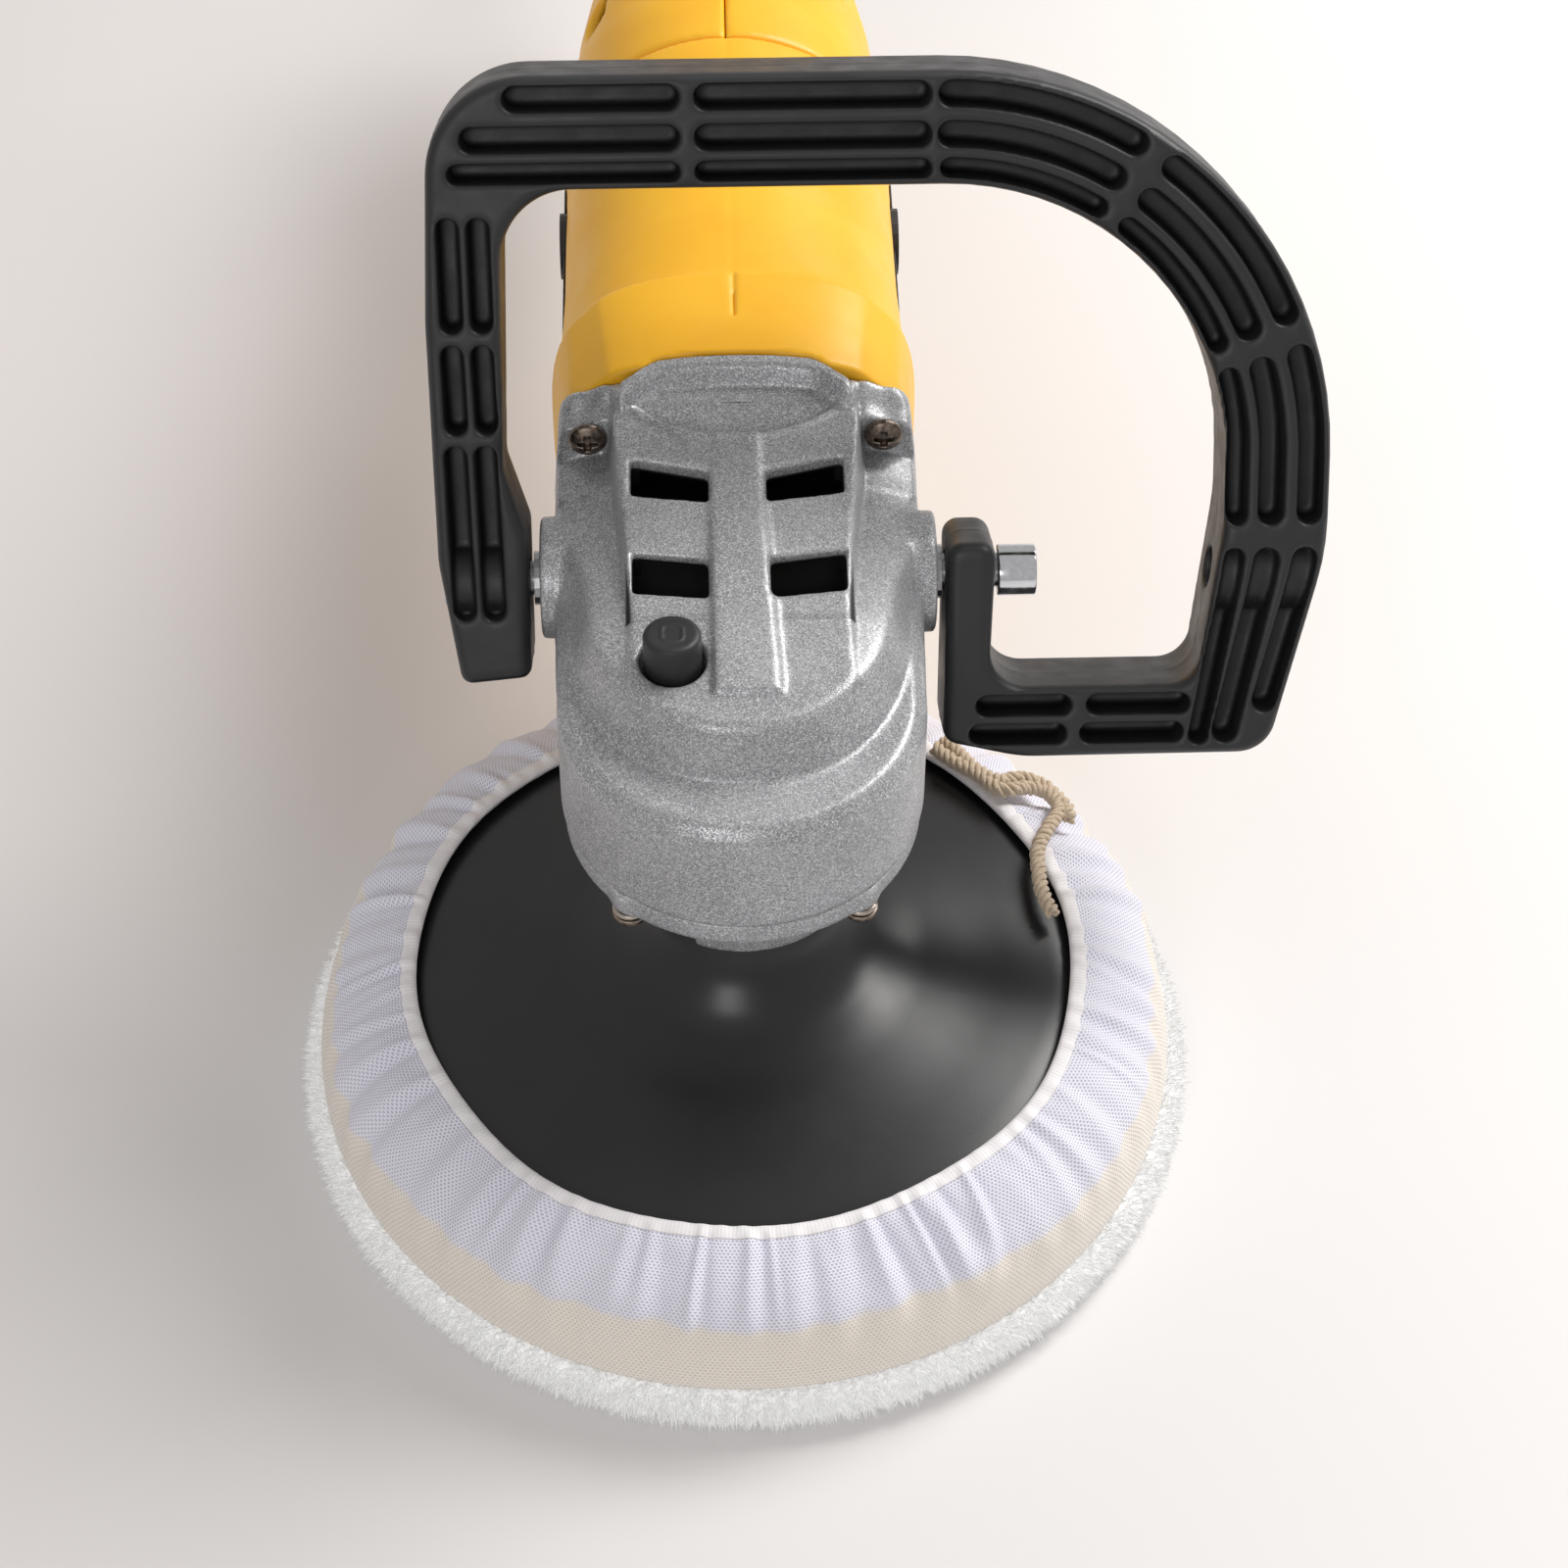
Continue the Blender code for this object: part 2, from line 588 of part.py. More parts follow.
def brush_block(side, inner, outer, half_y, half_z):
    """The two corners of a block that lies radially beside the commutator."""
    low_x, high_x = sorted((side * inner, side * outer))
    return (low_x, BRUSH_Y - half_y, MOTOR_Z - half_z), (high_x, BRUSH_Y + half_y, MOTOR_Z + half_z)


def brushes():
    """A holder, a carbon and a screw cap on each side of the commutator."""
    for name, side in (("left", -1), ("right", 1)):
        holder = box(f"brush_holder_{name}", *brush_block(side, 16, 35.4, 6.5, 7), "brass")
        cut(holder, box(f"brush_bore_{name}", *brush_block(side, 14, 38, 3.9, 5)))
        box(f"carbon_brush_{name}", *brush_block(side, 12.9, 27, 3.5, 4.6), "carbon")
        ends = sorted((side * 36.2, side * 41))
        rod(f"brush_cap_{name}", 8, *ends, "black_plastic", (0, BRUSH_Y, MOTOR_Z), "X", 20)


def motor_housing():
    stations = [  # y, half width, half height, squareness
        (FLANGE_Y + GAP, 40, 39, 3.6), (90, 41, 39.8, 3.4), (105, 42.4, 40.5, 3.0), (107, 41.2, 39.9, 2.7),
        (138, 40.2, 40, 2.1), (186, 40, 40, 2), (BARREL_END, 39.6, 39.6, 2),
    ]
    outer, inner = [], []
    for y, half_x, half_z, power in stations:
        for loops, wall in ((outer, 0), (inner, 3.2)):
            flat = superellipse(half_x - wall, half_z - wall, power, 0, 360, 33)[:-1]
            loops.append([(x, y, MOTOR_Z + z) for x, z in flat])
    housing = loft("motor_housing", outer + inner[::-1], "yellow_plastic", closed=True)
    at = (0, 0, MOTOR_Z)
    bosses = rods("barrel_screw_bosses", 5.6, FLANGE_Y + 1, 108, corner_places(), at=at, axis="Y", sides=16)
    bridge_profile = [
        (32.5, 203), (35.4, 203), (35.4, 190.3), (37.9, 190.3), (37.9, 183.5), (11 + GAP, 183.5),
        (11 + GAP, 190.3), (32.5, 190.3),
    ]
    bridge = turned("barrel_bridge", bridge_profile, None, at, "Y", ring=True, sides=28)
    join(housing, bosses, bridge)
    air_places = [polar(22, a) for a in (45, 135, 225, 315)]
    cut(housing, rods("barrel_air_holes", 8.5, 180, 195, air_places, at=at, axis="Y"))
    cut(housing, rods("barrel_screw_holes", 2.5, 78, 104, corner_places(), at=at, axis="Y", sides=8))
    cut(housing, box("lip_notch", (-LIP_X - 0.4, 78, 147.4), (LIP_X + 0.4, LIP_END + 0.4, 154)))
    cut(housing, rod("brush_cap_holes", 8 + GAP, -44, 44, at=(0, BRUSH_Y, MOTOR_Z), axis="X", sides=20))


# ---------------------------------------------------------------- rear handle


def handle_half(name, side):
    stations = [  # y, half width, middle height, half height, squareness
        (BARREL_END + GAP, 39.6, 112, 39.6, 2), (214, 38.9, 112, 38.9, 2), (234, 37, 111.5, 36, 2.1),
        (251, 34.4, 111, 31.5, 2.2), (268, 30, 110.5, 28, 2.3), (290, 25.5, 110, 25.5, 2.4),
        (320, 23.5, 109, 24.5, 2.4), (350, 23.5, 107.5, 24.5, 2.4), (372, 24.5, CORD_Z, 25.5, 2.4),
        (HANDLE_END - WALL, 24, CORD_Z, 25, 2.4),
    ]
    sections = []
    for y, half_x, middle, half_z, power in stations:
        outer, inner = (half_x, half_z, power), (half_x - WALL, half_z - WALL, power)
        sections.append(half_loop(y, side, middle, outer, inner))
    for y, trim in ((HANDLE_END - WALL + 0.05, 0), (HANDLE_END, 1)):
        sections.append(half_loop(y, side, CORD_Z, (24 - trim, 25 - trim, 2.4), (8.7, 8.7, 2)))
    half = loft(name, sections, "yellow_plastic")
    for number, (y, z, reach) in enumerate(SHELL_SCREWS, 1):
        ends = sorted((side * 0.5 * GAP, side * reach))
        join(half, rod(f"{name}_boss_{number}", 5, *ends, at=(0, y, z), axis="X", sides=16))
    for number, (y, z, reach) in enumerate(SHELL_SCREWS, 1):
        low, high = (-60, 1) if side < 0 else (-1, SCREW_TIP + 2)
        cut(half, rod(f"{name}_bore_{number}", 2.4, low, high, at=(0, y, z), axis="X", sides=10))
    cut(half, box(f"{name}_trigger_slot", (-9.8, 266, 60), (9.8, 341.5, 96)))
    cut(half, box(f"{name}_dial_slot", (-5.2, 330, 124), (5.2, 366, 140)))
    return half


def half_loop(y, side, middle, outer, inner):
    """The section of one half shell: out round its outer face and back along its inner face."""
    out = superellipse(*outer, -90, 90, 11)
    back = superellipse(*inner, 90, -90, 11)
    return [(side * (x + 0.5 * GAP), y, middle + z) for x, z in out + back]


def rear_handle():
    handle_half("rear_handle_right", 1)
    left = handle_half("rear_handle_left", -1)
    for number, (y, z, reach) in enumerate(SHELL_SCREWS, 1):
        head = 3.5 - reach
        at = (0, y, z)
        cut(left, rod(f"handle_screw_recess_{number}", 4.3, -60, head + GAP, at=at, axis="X", sides=TINY))
        profile = [(0, SCREW_TIP), (2, SCREW_TIP), (2, head), (3.8, head), (3.8, head - 2), (0, head - 2.4)]
        turned(f"handle_screw_{number}", profile, "bronzed_steel", at, "X", sides=TINY)
    cut(left, rod("lock_on_hole", 5, -40, -10, at=(0, 300, 112), axis="X", sides=16))
    rod("lock_on_button", 4.7, -28, -13.5, "black_plastic", (0, 300, 112), "X", 16)
    trigger = [
        (268, 78), (280, 73), (300, 71.5), (330, 72), (339.5, 76), (339.5, 84), (290, 92), (277, 94.5),
        (268, 93),
    ]
    lever = plate("trigger", [[(-z, y) for y, z in trigger]], -9.3, 9.3, "black_plastic", axis="X")
    cut(lever, rod("trigger_pin_hole", 1.9, -12, 12, at=(0, *TRIGGER_PIVOT), axis="X", sides=10))
    rod("trigger_pin", 1.5, -10.8, 10.8, "steel", (0, *TRIGGER_PIVOT), "X", 10)
    box("switch_body", (-10.5, 283, 102), (10.5, 322, 124), "black_plastic")
    wheel = [polar(15.5 if k % 2 else 14.6, 360 * k / 36) for k in range(36)]
    plate("speed_dial", [wheel], -4.5, 4.5, "black_plastic", (0, *DIAL_CENTRE), "X")
    box("speed_controller", (-12, 343, 92), (12, 367, 100), "circuit_board")


def cord_parts():
    at = (0, 0, CORD_Z)
    box("cord_clamp", (-10, 368, CORD_Z + CORD_R + GAP), (10, 376, CORD_Z + 8.5), "black_plastic")
    guard = [
        (CORD_R + GAP, 434), (5.6, 434), (6.4, 420), (8.3, 386), (8.3, 381.5), (11, 381.5), (11, 378),
        (CORD_R + GAP, 378),
    ]
    turned("cord_guard", guard, "cord_rubber", at, "Y", ring=True, sides=20)
    bends = [
        (0, 436, 106), (0, 452, 102), (0, 464, 86), (0, 466, 60), (0, 462, 30), (4, 452, 10),
        (18, 442, 4.2), (38, 440, 4.2), (56, 448, 5.5), (68, 452, 7.3),
    ]
    path = [(0, 366, CORD_Z), *smooth_path(bends), (74, 452, 7.3), (79.5, 452, 7.3)]
    tube("power_cord", path, CORD_R, "cord_rubber", sides=3)
    body = rounded([(-17, 0, 5), (17, 0, 5), (13, -32, 6), (-13, -32, 6)], step=45)
    plug = plate("plug", [[(-y + 80, x + 452) for x, y in body]], 0.6, 14, "cord_rubber")
    join(plug, rods("plug_pins", 2, 108, 131, [(-7.3, 442.5), (-7.3, 461.5)], axis="X", sides=10))


# ---------------------------------------------------------------- bail handle


def bail_outline():
    """The handle's outline, round the outside from the left foot and back along the inside."""
    right = BOW_CENTRE[0] + BOW_R
    inner_x, inner_y, inner_r = BOW_INSIDE
    inside = inner_x + inner_r
    under_top = inner_y + inner_r
    corners = [
        (-61.6, -21.5, 3), (-66, 6.7, 20), (-66.8, 60, 30), (-64.8, BAIL_TOP, 22),
        (right, BAIL_TOP, BOW_R), (right - 0.4, 6, 60), (117.5, -40.4, 9), (66, -40.4, 25),
        (44.2, -33, 3), (45.5, 9.8, 4), (57, 9.8, 4), (55.5, -23.5, 8), (100.5, -23.5, 7), (inside, 14, 40),
        (inside, under_top, inner_r), (-48.9, under_top, 15), (-50.4, 27, 10), (-45.5, 12, 6),
        (-45.5, -20, 3),
    ]
    return rounded(corners, step=18)


def bow(offset, start, end, count=4):
    """A path along the bow, this far in from its outer edge, between two angles in degrees."""
    return arc(BOW_CENTRE, BOW_R - offset, start, end, count)


def bail_slots():
    """Outlines of the long pockets that leave ribs along the handle's faces."""
    rows = [  # offset from the outer edge, width, left end, lower end
        (5.3, 5.6, -46, (118.2, -28)), (13.7, 5.4, -55, (111.2, -33)), (20.8, 4.4, -58, (104, -34)),
    ]
    slots = []
    for offset, width, left, low in rows:
        u = BAIL_TOP - offset
        x = BOW_CENTRE[0] + BOW_R - offset
        slots.append(stadium([(left, u), (-13.5, u)], width))
        slots.append(stadium([(-5.5, u), (39.5, u)], width))
        slots.append(stadium(bow(offset, 88, 60), width))
        slots.append(stadium(bow(offset, 52, 24), width))
        slots.append(stadium([*bow(offset, 15.5, 0, 3), (x, 15)], width))
        slots.append(stadium([(x - 0.5, 5), low], width))
    for x, width in ((-60.9, 5.4), (-54.3, 5.2)):
        for low, high in ((60, 80.5), (37.5, 53), (12, 31)):
            ends = [(x - 0.03 * (80 - u), u) for u in (low, high)]
            slots.append(stadium(ends, width))
    for u, shift in ((-27.3, 0), (-34.3, -1.3)):
        slots.append(stadium([(55 + shift, u), (70.6 + shift, u)], 5))
        slots.append(stadium([(79.2 + shift, u), (96 + shift, u)], 5))
    return slots


def bail_handle():
    at = (0, PIVOT_Y, PIVOT_Z)
    half = BAIL_THICK / 2
    handle = plate("loop_handle", [bail_outline()], -half, half, "black_plastic", at, "BAIL")
    slots = bail_slots()
    cut(handle, plate("bail_slots_front", slots, half - SLOT_DEPTH, half + 1, at=at, axis="BAIL"))
    cut(handle, plate("bail_slots_back", slots, -half - 1, SLOT_DEPTH - half, at=at, axis="BAIL"))
    cut(handle, rod("bail_bolt_holes", BOLT_HOLE_R, -75, 60, at=at, axis="X", sides=16))
    cut(handle, rod("bail_head_recess", 7, -75, -58.5, at=at, axis="X", sides=16))
    cut(handle, rod("bail_access_hole", 4.6, 92, 140, at=at, axis="X", sides=16))
    right = [
        (0, 66), (5.3, 66), (BOLT_HEAD_R, 65.4), (BOLT_HEAD_R, 57.4), (BOLT_R, 57.4), (BOLT_R, 29), (0, 29),
    ]
    turned("handle_bolt_right", right, "chrome", at, "X", sides=16)
    left = [
        (0, -29), (BOLT_R, -29), (BOLT_R, -58.8), (BOLT_HEAD_R, -58.8), (BOLT_HEAD_R, -64.5), (5.3, -65),
        (0, -65),
    ]
    turned("handle_bolt_left", left, "chrome", at, "X", sides=16)
    ring("handle_spacer_right", BOLT_R + GAP, 6, BOSS_X + GAP, 45, "steel", at, "X", 16)
    ring("handle_spacer_left", BOLT_R + GAP, 6, -45.1, -BOSS_X - GAP, "steel", at, "X", 16)


# ---------------------------------------------------------------- plate, foam and bonnet


def polishing_pad():
    plate_profile = [
        (0, 50), (7 + GAP, 50), (7 + GAP, HUB_Z), (HUB_R, HUB_Z), (17, 66), (20, 58), (27, 50.5),
        (38, 45.5), (55, 41.5), (OPENING_R, 38), (PLATE_R, 30.2), (PLATE_R, PLATE_Z), (86, PLATE_Z),
        (72, 33), (40, 38), (16, 41), (0, 41),
    ]
    turned("backing_plate", plate_profile, "black_plastic", sides=40)
    turned("foam_pad", [(0, PLATE_Z - GAP), (93.4, PLATE_Z - GAP), (95.3, 13), (0, 13)], "foam", sides=40)
    cup = [
        (0, 12.7), (96, 12.7), (95.7, 20), (94.2, PLATE_Z), (92.9, 30.8), (OPENING_R, 38.8),
        (OPENING_R, HEM_Z + 0.6), (79, HEM_Z + 0.4), (95.6, 31), (98.8, 17), (102.6, 9), (BONNET_R, 4),
        (100, 0), (0, 0),
    ]
    turned("bonnet", cup, "bonnet_cloth", sides=40)
    ends = [
        (47.3, 61.2, 42.9), (55, 54, 42.9), (61.7, 47.5, 42.9), (67.5, 49.5, 41), (73, 48.5, 39),
        (76, 42, 39.3), (73.5, 35, 41.9), (69.5, 27, 42.8), (70.3, 18, 42.8), (72.2, 9, 42.8),
    ]
    tube("drawstring", smooth_path(ends, 2), 1.5, "cotton", sides=3)


gear_housing()
retainer()
housing_screws()
spindle_group()
lock_button()
armature()
stator()
brushes()
motor_housing()
rear_handle()
cord_parts()
bail_handle()
polishing_pad()
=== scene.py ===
"""Looks of the rotary polisher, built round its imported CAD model.

Lengths are millimetres and become metres where a mesh is made. The frame is the CAD's: the origin is on the
spindle axis in the plane that the bonnet rests on, +Y runs back along the motor and +X is the wide bow's side.
"""

import math

import bpy
import numpy as np
from mathutils import Matrix, Vector


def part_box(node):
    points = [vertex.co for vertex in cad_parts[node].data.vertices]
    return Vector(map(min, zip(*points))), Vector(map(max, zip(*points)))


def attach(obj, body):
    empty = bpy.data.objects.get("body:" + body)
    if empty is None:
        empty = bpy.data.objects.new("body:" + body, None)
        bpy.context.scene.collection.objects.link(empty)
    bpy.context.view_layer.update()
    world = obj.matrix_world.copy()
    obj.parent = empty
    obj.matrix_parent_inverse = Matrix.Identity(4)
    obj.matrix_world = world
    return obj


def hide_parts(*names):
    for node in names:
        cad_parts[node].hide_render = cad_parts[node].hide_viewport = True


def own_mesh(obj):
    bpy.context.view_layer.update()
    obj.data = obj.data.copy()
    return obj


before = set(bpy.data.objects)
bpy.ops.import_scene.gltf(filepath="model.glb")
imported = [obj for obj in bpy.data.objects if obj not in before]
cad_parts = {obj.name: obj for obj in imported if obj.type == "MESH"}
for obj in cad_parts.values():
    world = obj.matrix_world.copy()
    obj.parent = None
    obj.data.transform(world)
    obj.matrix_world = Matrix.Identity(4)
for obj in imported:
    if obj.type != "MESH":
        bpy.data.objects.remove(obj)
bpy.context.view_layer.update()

MM = 0.001
TOOL, SPINDLE, BAIL = "tool_body", "spindle_body", "bail_body"


def extent(node):
    """The lowest and highest corners of a CAD node, in millimetres."""
    low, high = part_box(node)
    return np.array(low) / MM, np.array(high) / MM


def middle(node):
    return sum(extent(node)) / 2


# Stations taken from the frame
MOTOR_Z = middle("armature_shaft")[2]
FLANGE_Y = extent("motor_housing")[0][1] - 0.3
BARREL_END = extent("rear_handle_left")[0][1] - 0.3
HANDLE_END = extent("rear_handle_left")[1][1]
PIVOT_Y, PIVOT_Z = middle("handle_bolt_right")[1:]
LOCK_X, LOCK_Y = middle("lock_button")[:2]
LOCK_TOP = extent("lock_button")[1][2]
HUB_TOP = extent("backing_plate")[1][2]
DIAL_Y, DIAL_Z = middle("speed_dial")[1:]
CORD_Z = middle("cord_guard")[2]

# Gear housing
NOSE_R = 39.6
HALF_WIDTH = 40
HALF_HEIGHT = 39
SEAM_Z = extent("bearing_retainer")[1][2] + 0.3
LEDGE_Z = 129.4
POCKET_Y = 71
SCREW_X, SCREW_DZ = 33, 26
GAP = 0.3
WALL = 3

# Bail handle
LEAN = math.radians(30)
BAIL_HALF = 13
BAIL_TOP = 112.8
BOW = (45, 27.8, 85)
BOW_INSIDE = (45, 26.8, 61)
SLOT_FLOOR = 4
TUBE_R = 9.5  # round the bolt's axis

# Shells and screws behind the flange
BRUSH_Y = 165
PLACES = [(sx, sz) for sx in (-1, 1) for sz in (-1, 1)]
SHELL_SCREWS = ((230, 130, 30), (374, 92, 19.5))  # y, z and half the shells' width there
TRIGGER_PIVOT = (273, 89)
LOCK_ON = (300, 112)
NEAR_AXIS = 0.02  # radius at which a turned piece closes

PLUSH_GLOW = 0.18  # stands for the light that dense white pile passes from fibre to fibre

# Spring of the lock button
SPRING_TURNS = 4
SPRING_WIRE = 0.4

TURNS = {
    "X": Matrix.Rotation(math.radians(90), 4, "Y"),
    "Y": Matrix.Rotation(math.radians(-90), 4, "X"),
    "Z": Matrix.Identity(4),
    "BAIL": Matrix.Rotation(math.radians(90) - LEAN, 4, "X"),
}


# ---------------------------------------------------------------- shapes from distances


class Space:
    """A grid of points, in millimetres, that distances are worked out on."""

    def __init__(self, low, high, step):
        self.low, self.step = np.array(low, float), step
        axes = [np.arange(a, b + step, step, dtype=np.float32) for a, b in zip(low, high)]
        self.x, self.y, self.z = np.meshgrid(*axes, indexing="ij", sparse=True)

    def full(self, values):
        shape = (self.x.shape[0], self.y.shape[1], self.z.shape[2])
        return np.broadcast_to(values, shape).astype(np.float32)


def both(a, b, soft=0.01):
    """Where two solids overlap, with a softened edge."""
    h = np.maximum(soft - np.abs(a - b), 0)
    return np.maximum(a, b) + h * h / (4 * soft)


def either(a, b, soft=0.01):
    h = np.maximum(soft - np.abs(a - b), 0)
    return np.minimum(a, b) - h * h / (4 * soft)


def less(a, b, soft=0.01):
    return both(a, -b, soft)


def between(v, low, high):
    return np.abs(v - (low + high) / 2) - (high - low) / 2


def brick(x, y, z, low, high, radius=0.0):
    """Distance to a box with rounded edges."""
    q = [between(v, a, b) + radius for v, a, b in zip((x, y, z), low, high)]
    outside = np.sqrt(sum(np.maximum(v, 0) ** 2 for v in q))
    return outside + np.minimum(np.maximum(np.maximum(q[0], q[1]), q[2]), 0) - radius


def bar(u, v, w, radius, low, high, soft=0.01):
    """Distance to a cylinder whose axis is w."""
    return both(np.hypot(u, v) - radius, between(w, low, high), soft)


def squircle(u, v, half_u, half_v, power):
    """Distance, near enough, to a rounded square."""
    ratio = (np.abs(u / half_u) ** power + np.abs(v / half_v) ** power) ** (1 / power)
    return (ratio - 1) * np.minimum(half_u, half_v)


def ramp(v, low, high):
    """0 below low, 1 above high, and smooth between them."""
    t = np.clip((v - low) / (high - low), 0, 1)
    return t * t * (3 - 2 * t)


def polygon(u, v, outline):
    """Distance to a closed outline in a plane, less than 0 inside it."""
    best = np.full(np.broadcast(u, v).shape, 1e9, np.float32)
    odd = np.zeros(best.shape, bool)
    for (ax, ay), (bx, by) in zip(outline, outline[1:] + outline[:1]):
        ex, ey = bx - ax, by - ay
        t = np.clip(((u - ax) * ex + (v - ay) * ey) / max(ex * ex + ey * ey, 1e-9), 0, 1)
        best = np.minimum(best, (u - ax - t * ex) ** 2 + (v - ay - t * ey) ** 2)
        if ay != by:
            odd ^= ((v >= ay) != (v >= by)) & (u < ax + (v - ay) * ex / ey)
    return np.where(odd, -1, 1) * np.sqrt(best)


def track(u, v, path):
    """Distance to an open path in a plane."""
    best = np.full(np.broadcast(u, v).shape, 1e9, np.float32)
    for (ax, ay), (bx, by) in zip(path, path[1:]):
        ex, ey = bx - ax, by - ay
        t = np.clip(((u - ax) * ex + (v - ay) * ey) / max(ex * ex + ey * ey, 1e-9), 0, 1)
        best = np.minimum(best, (u - ax - t * ex) ** 2 + (v - ay - t * ey) ** 2)
    return np.sqrt(best)


def skin(name, values, space, at=(0, 0, 0), axis="Z", smooth=2):
    """The surface where the distances are 0, as one closed mesh."""
    values = space.full(values)
    inside = values < 0
    size = np.array(values.shape) - 1

    def corner(array, offset):
        return array[tuple(slice(o, o + n) for o, n in zip(offset, size))]

    offsets = [(i, j, k) for i in (0, 1) for j in (0, 1) for k in (0, 1)]
    count = sum(corner(inside, o).astype(np.int8) for o in offsets)
    cells = np.argwhere((count > 0) & (count < 8))
    number = np.full(tuple(size), -1, np.int64)
    number[tuple(cells.T)] = np.arange(len(cells))
    total, hits = np.zeros((len(cells), 3)), np.zeros((len(cells), 1))
    for axis_number in range(3):
        along = np.eye(3, dtype=int)[axis_number]
        for offset in offsets:
            if offset[axis_number]:
                continue
            first = values[tuple((cells + offset).T)]
            last = values[tuple((cells + offset + along).T)]
            crosses = (first < 0) != (last < 0)
            share = np.where(crosses, first / np.where(crosses, first - last, 1), 0)
            total += crosses[:, None] * (np.array(offset) + share[:, None] * along)
            hits += crosses[:, None]
    points = (cells + total / hits) * space.step + space.low
    quads = []
    for axis_number in range(3):
        u, v = [n for n in range(3) if n != axis_number]
        lower = [slice(1, -1)] * 3
        upper = [slice(1, -1)] * 3
        lower[axis_number], upper[axis_number] = slice(0, -1), slice(1, None)
        first, last = inside[tuple(lower)], inside[tuple(upper)]
        start = np.ones(3, int)
        start[axis_number] = 0
        for forward in (True, False):
            edges = np.argwhere((first & ~last) if forward else (~first & last)) + start
            around = [(0, 0), (-1, 0), (-1, -1), (0, -1)]
            if forward == (axis_number == 1):
                around.reverse()
            loop = []
            for du, dv in around:
                shift = np.zeros(3, int)
                shift[u], shift[v] = du, dv
                loop.append(number[tuple((edges + shift).T)])
            quads.append(np.stack(loop, 1))
    return from_arrays(name, points, np.concatenate(quads), at, axis, smooth)


def from_arrays(name, points, faces, at=(0, 0, 0), axis="Z", smooth=0):
    """An object from points in millimetres and faces of equal size."""
    points = np.asarray(points, float)
    faces = np.asarray(faces)
    turn = np.array(TURNS[axis].to_3x3())
    points = (points @ turn.T + np.array(at, float)) * MM
    mesh = bpy.data.meshes.new(name)
    mesh.vertices.add(len(points))
    mesh.vertices.foreach_set("co", points.ravel().astype(np.float32))
    mesh.loops.add(faces.size)
    mesh.loops.foreach_set("vertex_index", faces.ravel().astype(np.int32))
    mesh.polygons.add(len(faces))
    sides = faces.shape[1]
    mesh.polygons.foreach_set("loop_start", np.arange(len(faces), dtype=np.int32) * sides)
    mesh.update(calc_edges=True)
    mesh.validate()
    mesh.shade_smooth()
    obj = bpy.data.objects.new(name, mesh)
    bpy.context.scene.collection.objects.link(obj)
    if smooth:
        relax = obj.modifiers.new("relax", "SMOOTH")
        relax.iterations, relax.factor = smooth, 0.5
    return obj


# ---------------------------------------------------------------- turned and swept shapes


def grid_faces(rows, columns, wrap_rows=False, wrap_columns=True):
    """Quads over rows of points; each row closes on itself when columns wrap."""
    r = np.arange(rows if wrap_rows else rows - 1)[:, None]
    c = np.arange(columns if wrap_columns else columns - 1)[None, :]
    a, b = r * columns, ((r + 1) % rows) * columns
    d = (c + 1) % columns
    return np.stack([a + c, a + d, b + d, b + c], -1).reshape(-1, 4)


def soften(profile, radius, count=4, closed=True):
    """Rounds the corners of a profile."""
    points = [np.array(p, float) for p in profile]
    out = []
    for i, here in enumerate(points):
        if not closed and i in (0, len(points) - 1):
            out.append(here)
            continue
        before, after = points[i - 1], points[(i + 1) % len(points)]
        reach = min(radius, 0.45 * np.linalg.norm(before - here), 0.45 * np.linalg.norm(after - here))
        start = here + (before - here) / np.linalg.norm(before - here) * reach
        end = here + (after - here) / np.linalg.norm(after - here) * reach
        for k in range(count + 1):
            t = k / count
            out.append((1 - t) ** 2 * start + 2 * t * (1 - t) * here + t * t * end)
    return out


def lathe(name, profile, at=(0, 0, 0), axis="Z", sides=96):
    """A turned ring: its closed (radius, height) profile runs down the outside and up the inside."""
    angles = np.arange(sides) * 2 * math.pi / sides
    profile = np.array(profile)
    points = np.empty((len(profile), sides, 3))
    points[..., 0] = profile[:, :1] * np.cos(angles)
    points[..., 1] = profile[:, :1] * np.sin(angles)
    points[..., 2] = profile[:, 1:]
    faces = grid_faces(len(profile), sides, wrap_rows=True)[:, ::-1]
    return from_arrays(name, points.reshape(-1, 3), faces, at, axis)


def smooth_path(points, count=6):
    """A Catmull-Rom path through the points."""
    points = np.array(points, float)
    ends = np.vstack([points[:1], points, points[-1:]])
    t = np.arange(count)[:, None] / count
    path = []
    for a, b, c, d in zip(ends, ends[1:], ends[2:], ends[3:]):
        square, cube = 2 * a - 5 * b + 4 * c - d, 3 * b - a - 3 * c + d
        path.append((2 * b + (c - a) * t + square * t * t + cube * t**3) / 2)
    return np.vstack([*path, points[-1:]])


def unit(vectors):
    return vectors / np.linalg.norm(vectors, axis=1)[:, None]


def run_length(path):
    """The distance along a path at each of its points."""
    return np.concatenate([[0], np.cumsum(np.linalg.norm(np.diff(path, axis=0), axis=1))])


def path_frames(path):
    """Two directions across a path at each of its points, that don't spin."""
    ways = unit(np.gradient(path, axis=0))
    side = np.cross(ways[0], (0.1, 0.2, 0.97))
    sides = []
    for way in ways:
        side = side - way * (side @ way)
        side /= np.linalg.norm(side)
        sides.append(side)
    sides = np.array(sides)
    return sides, np.cross(ways, sides)


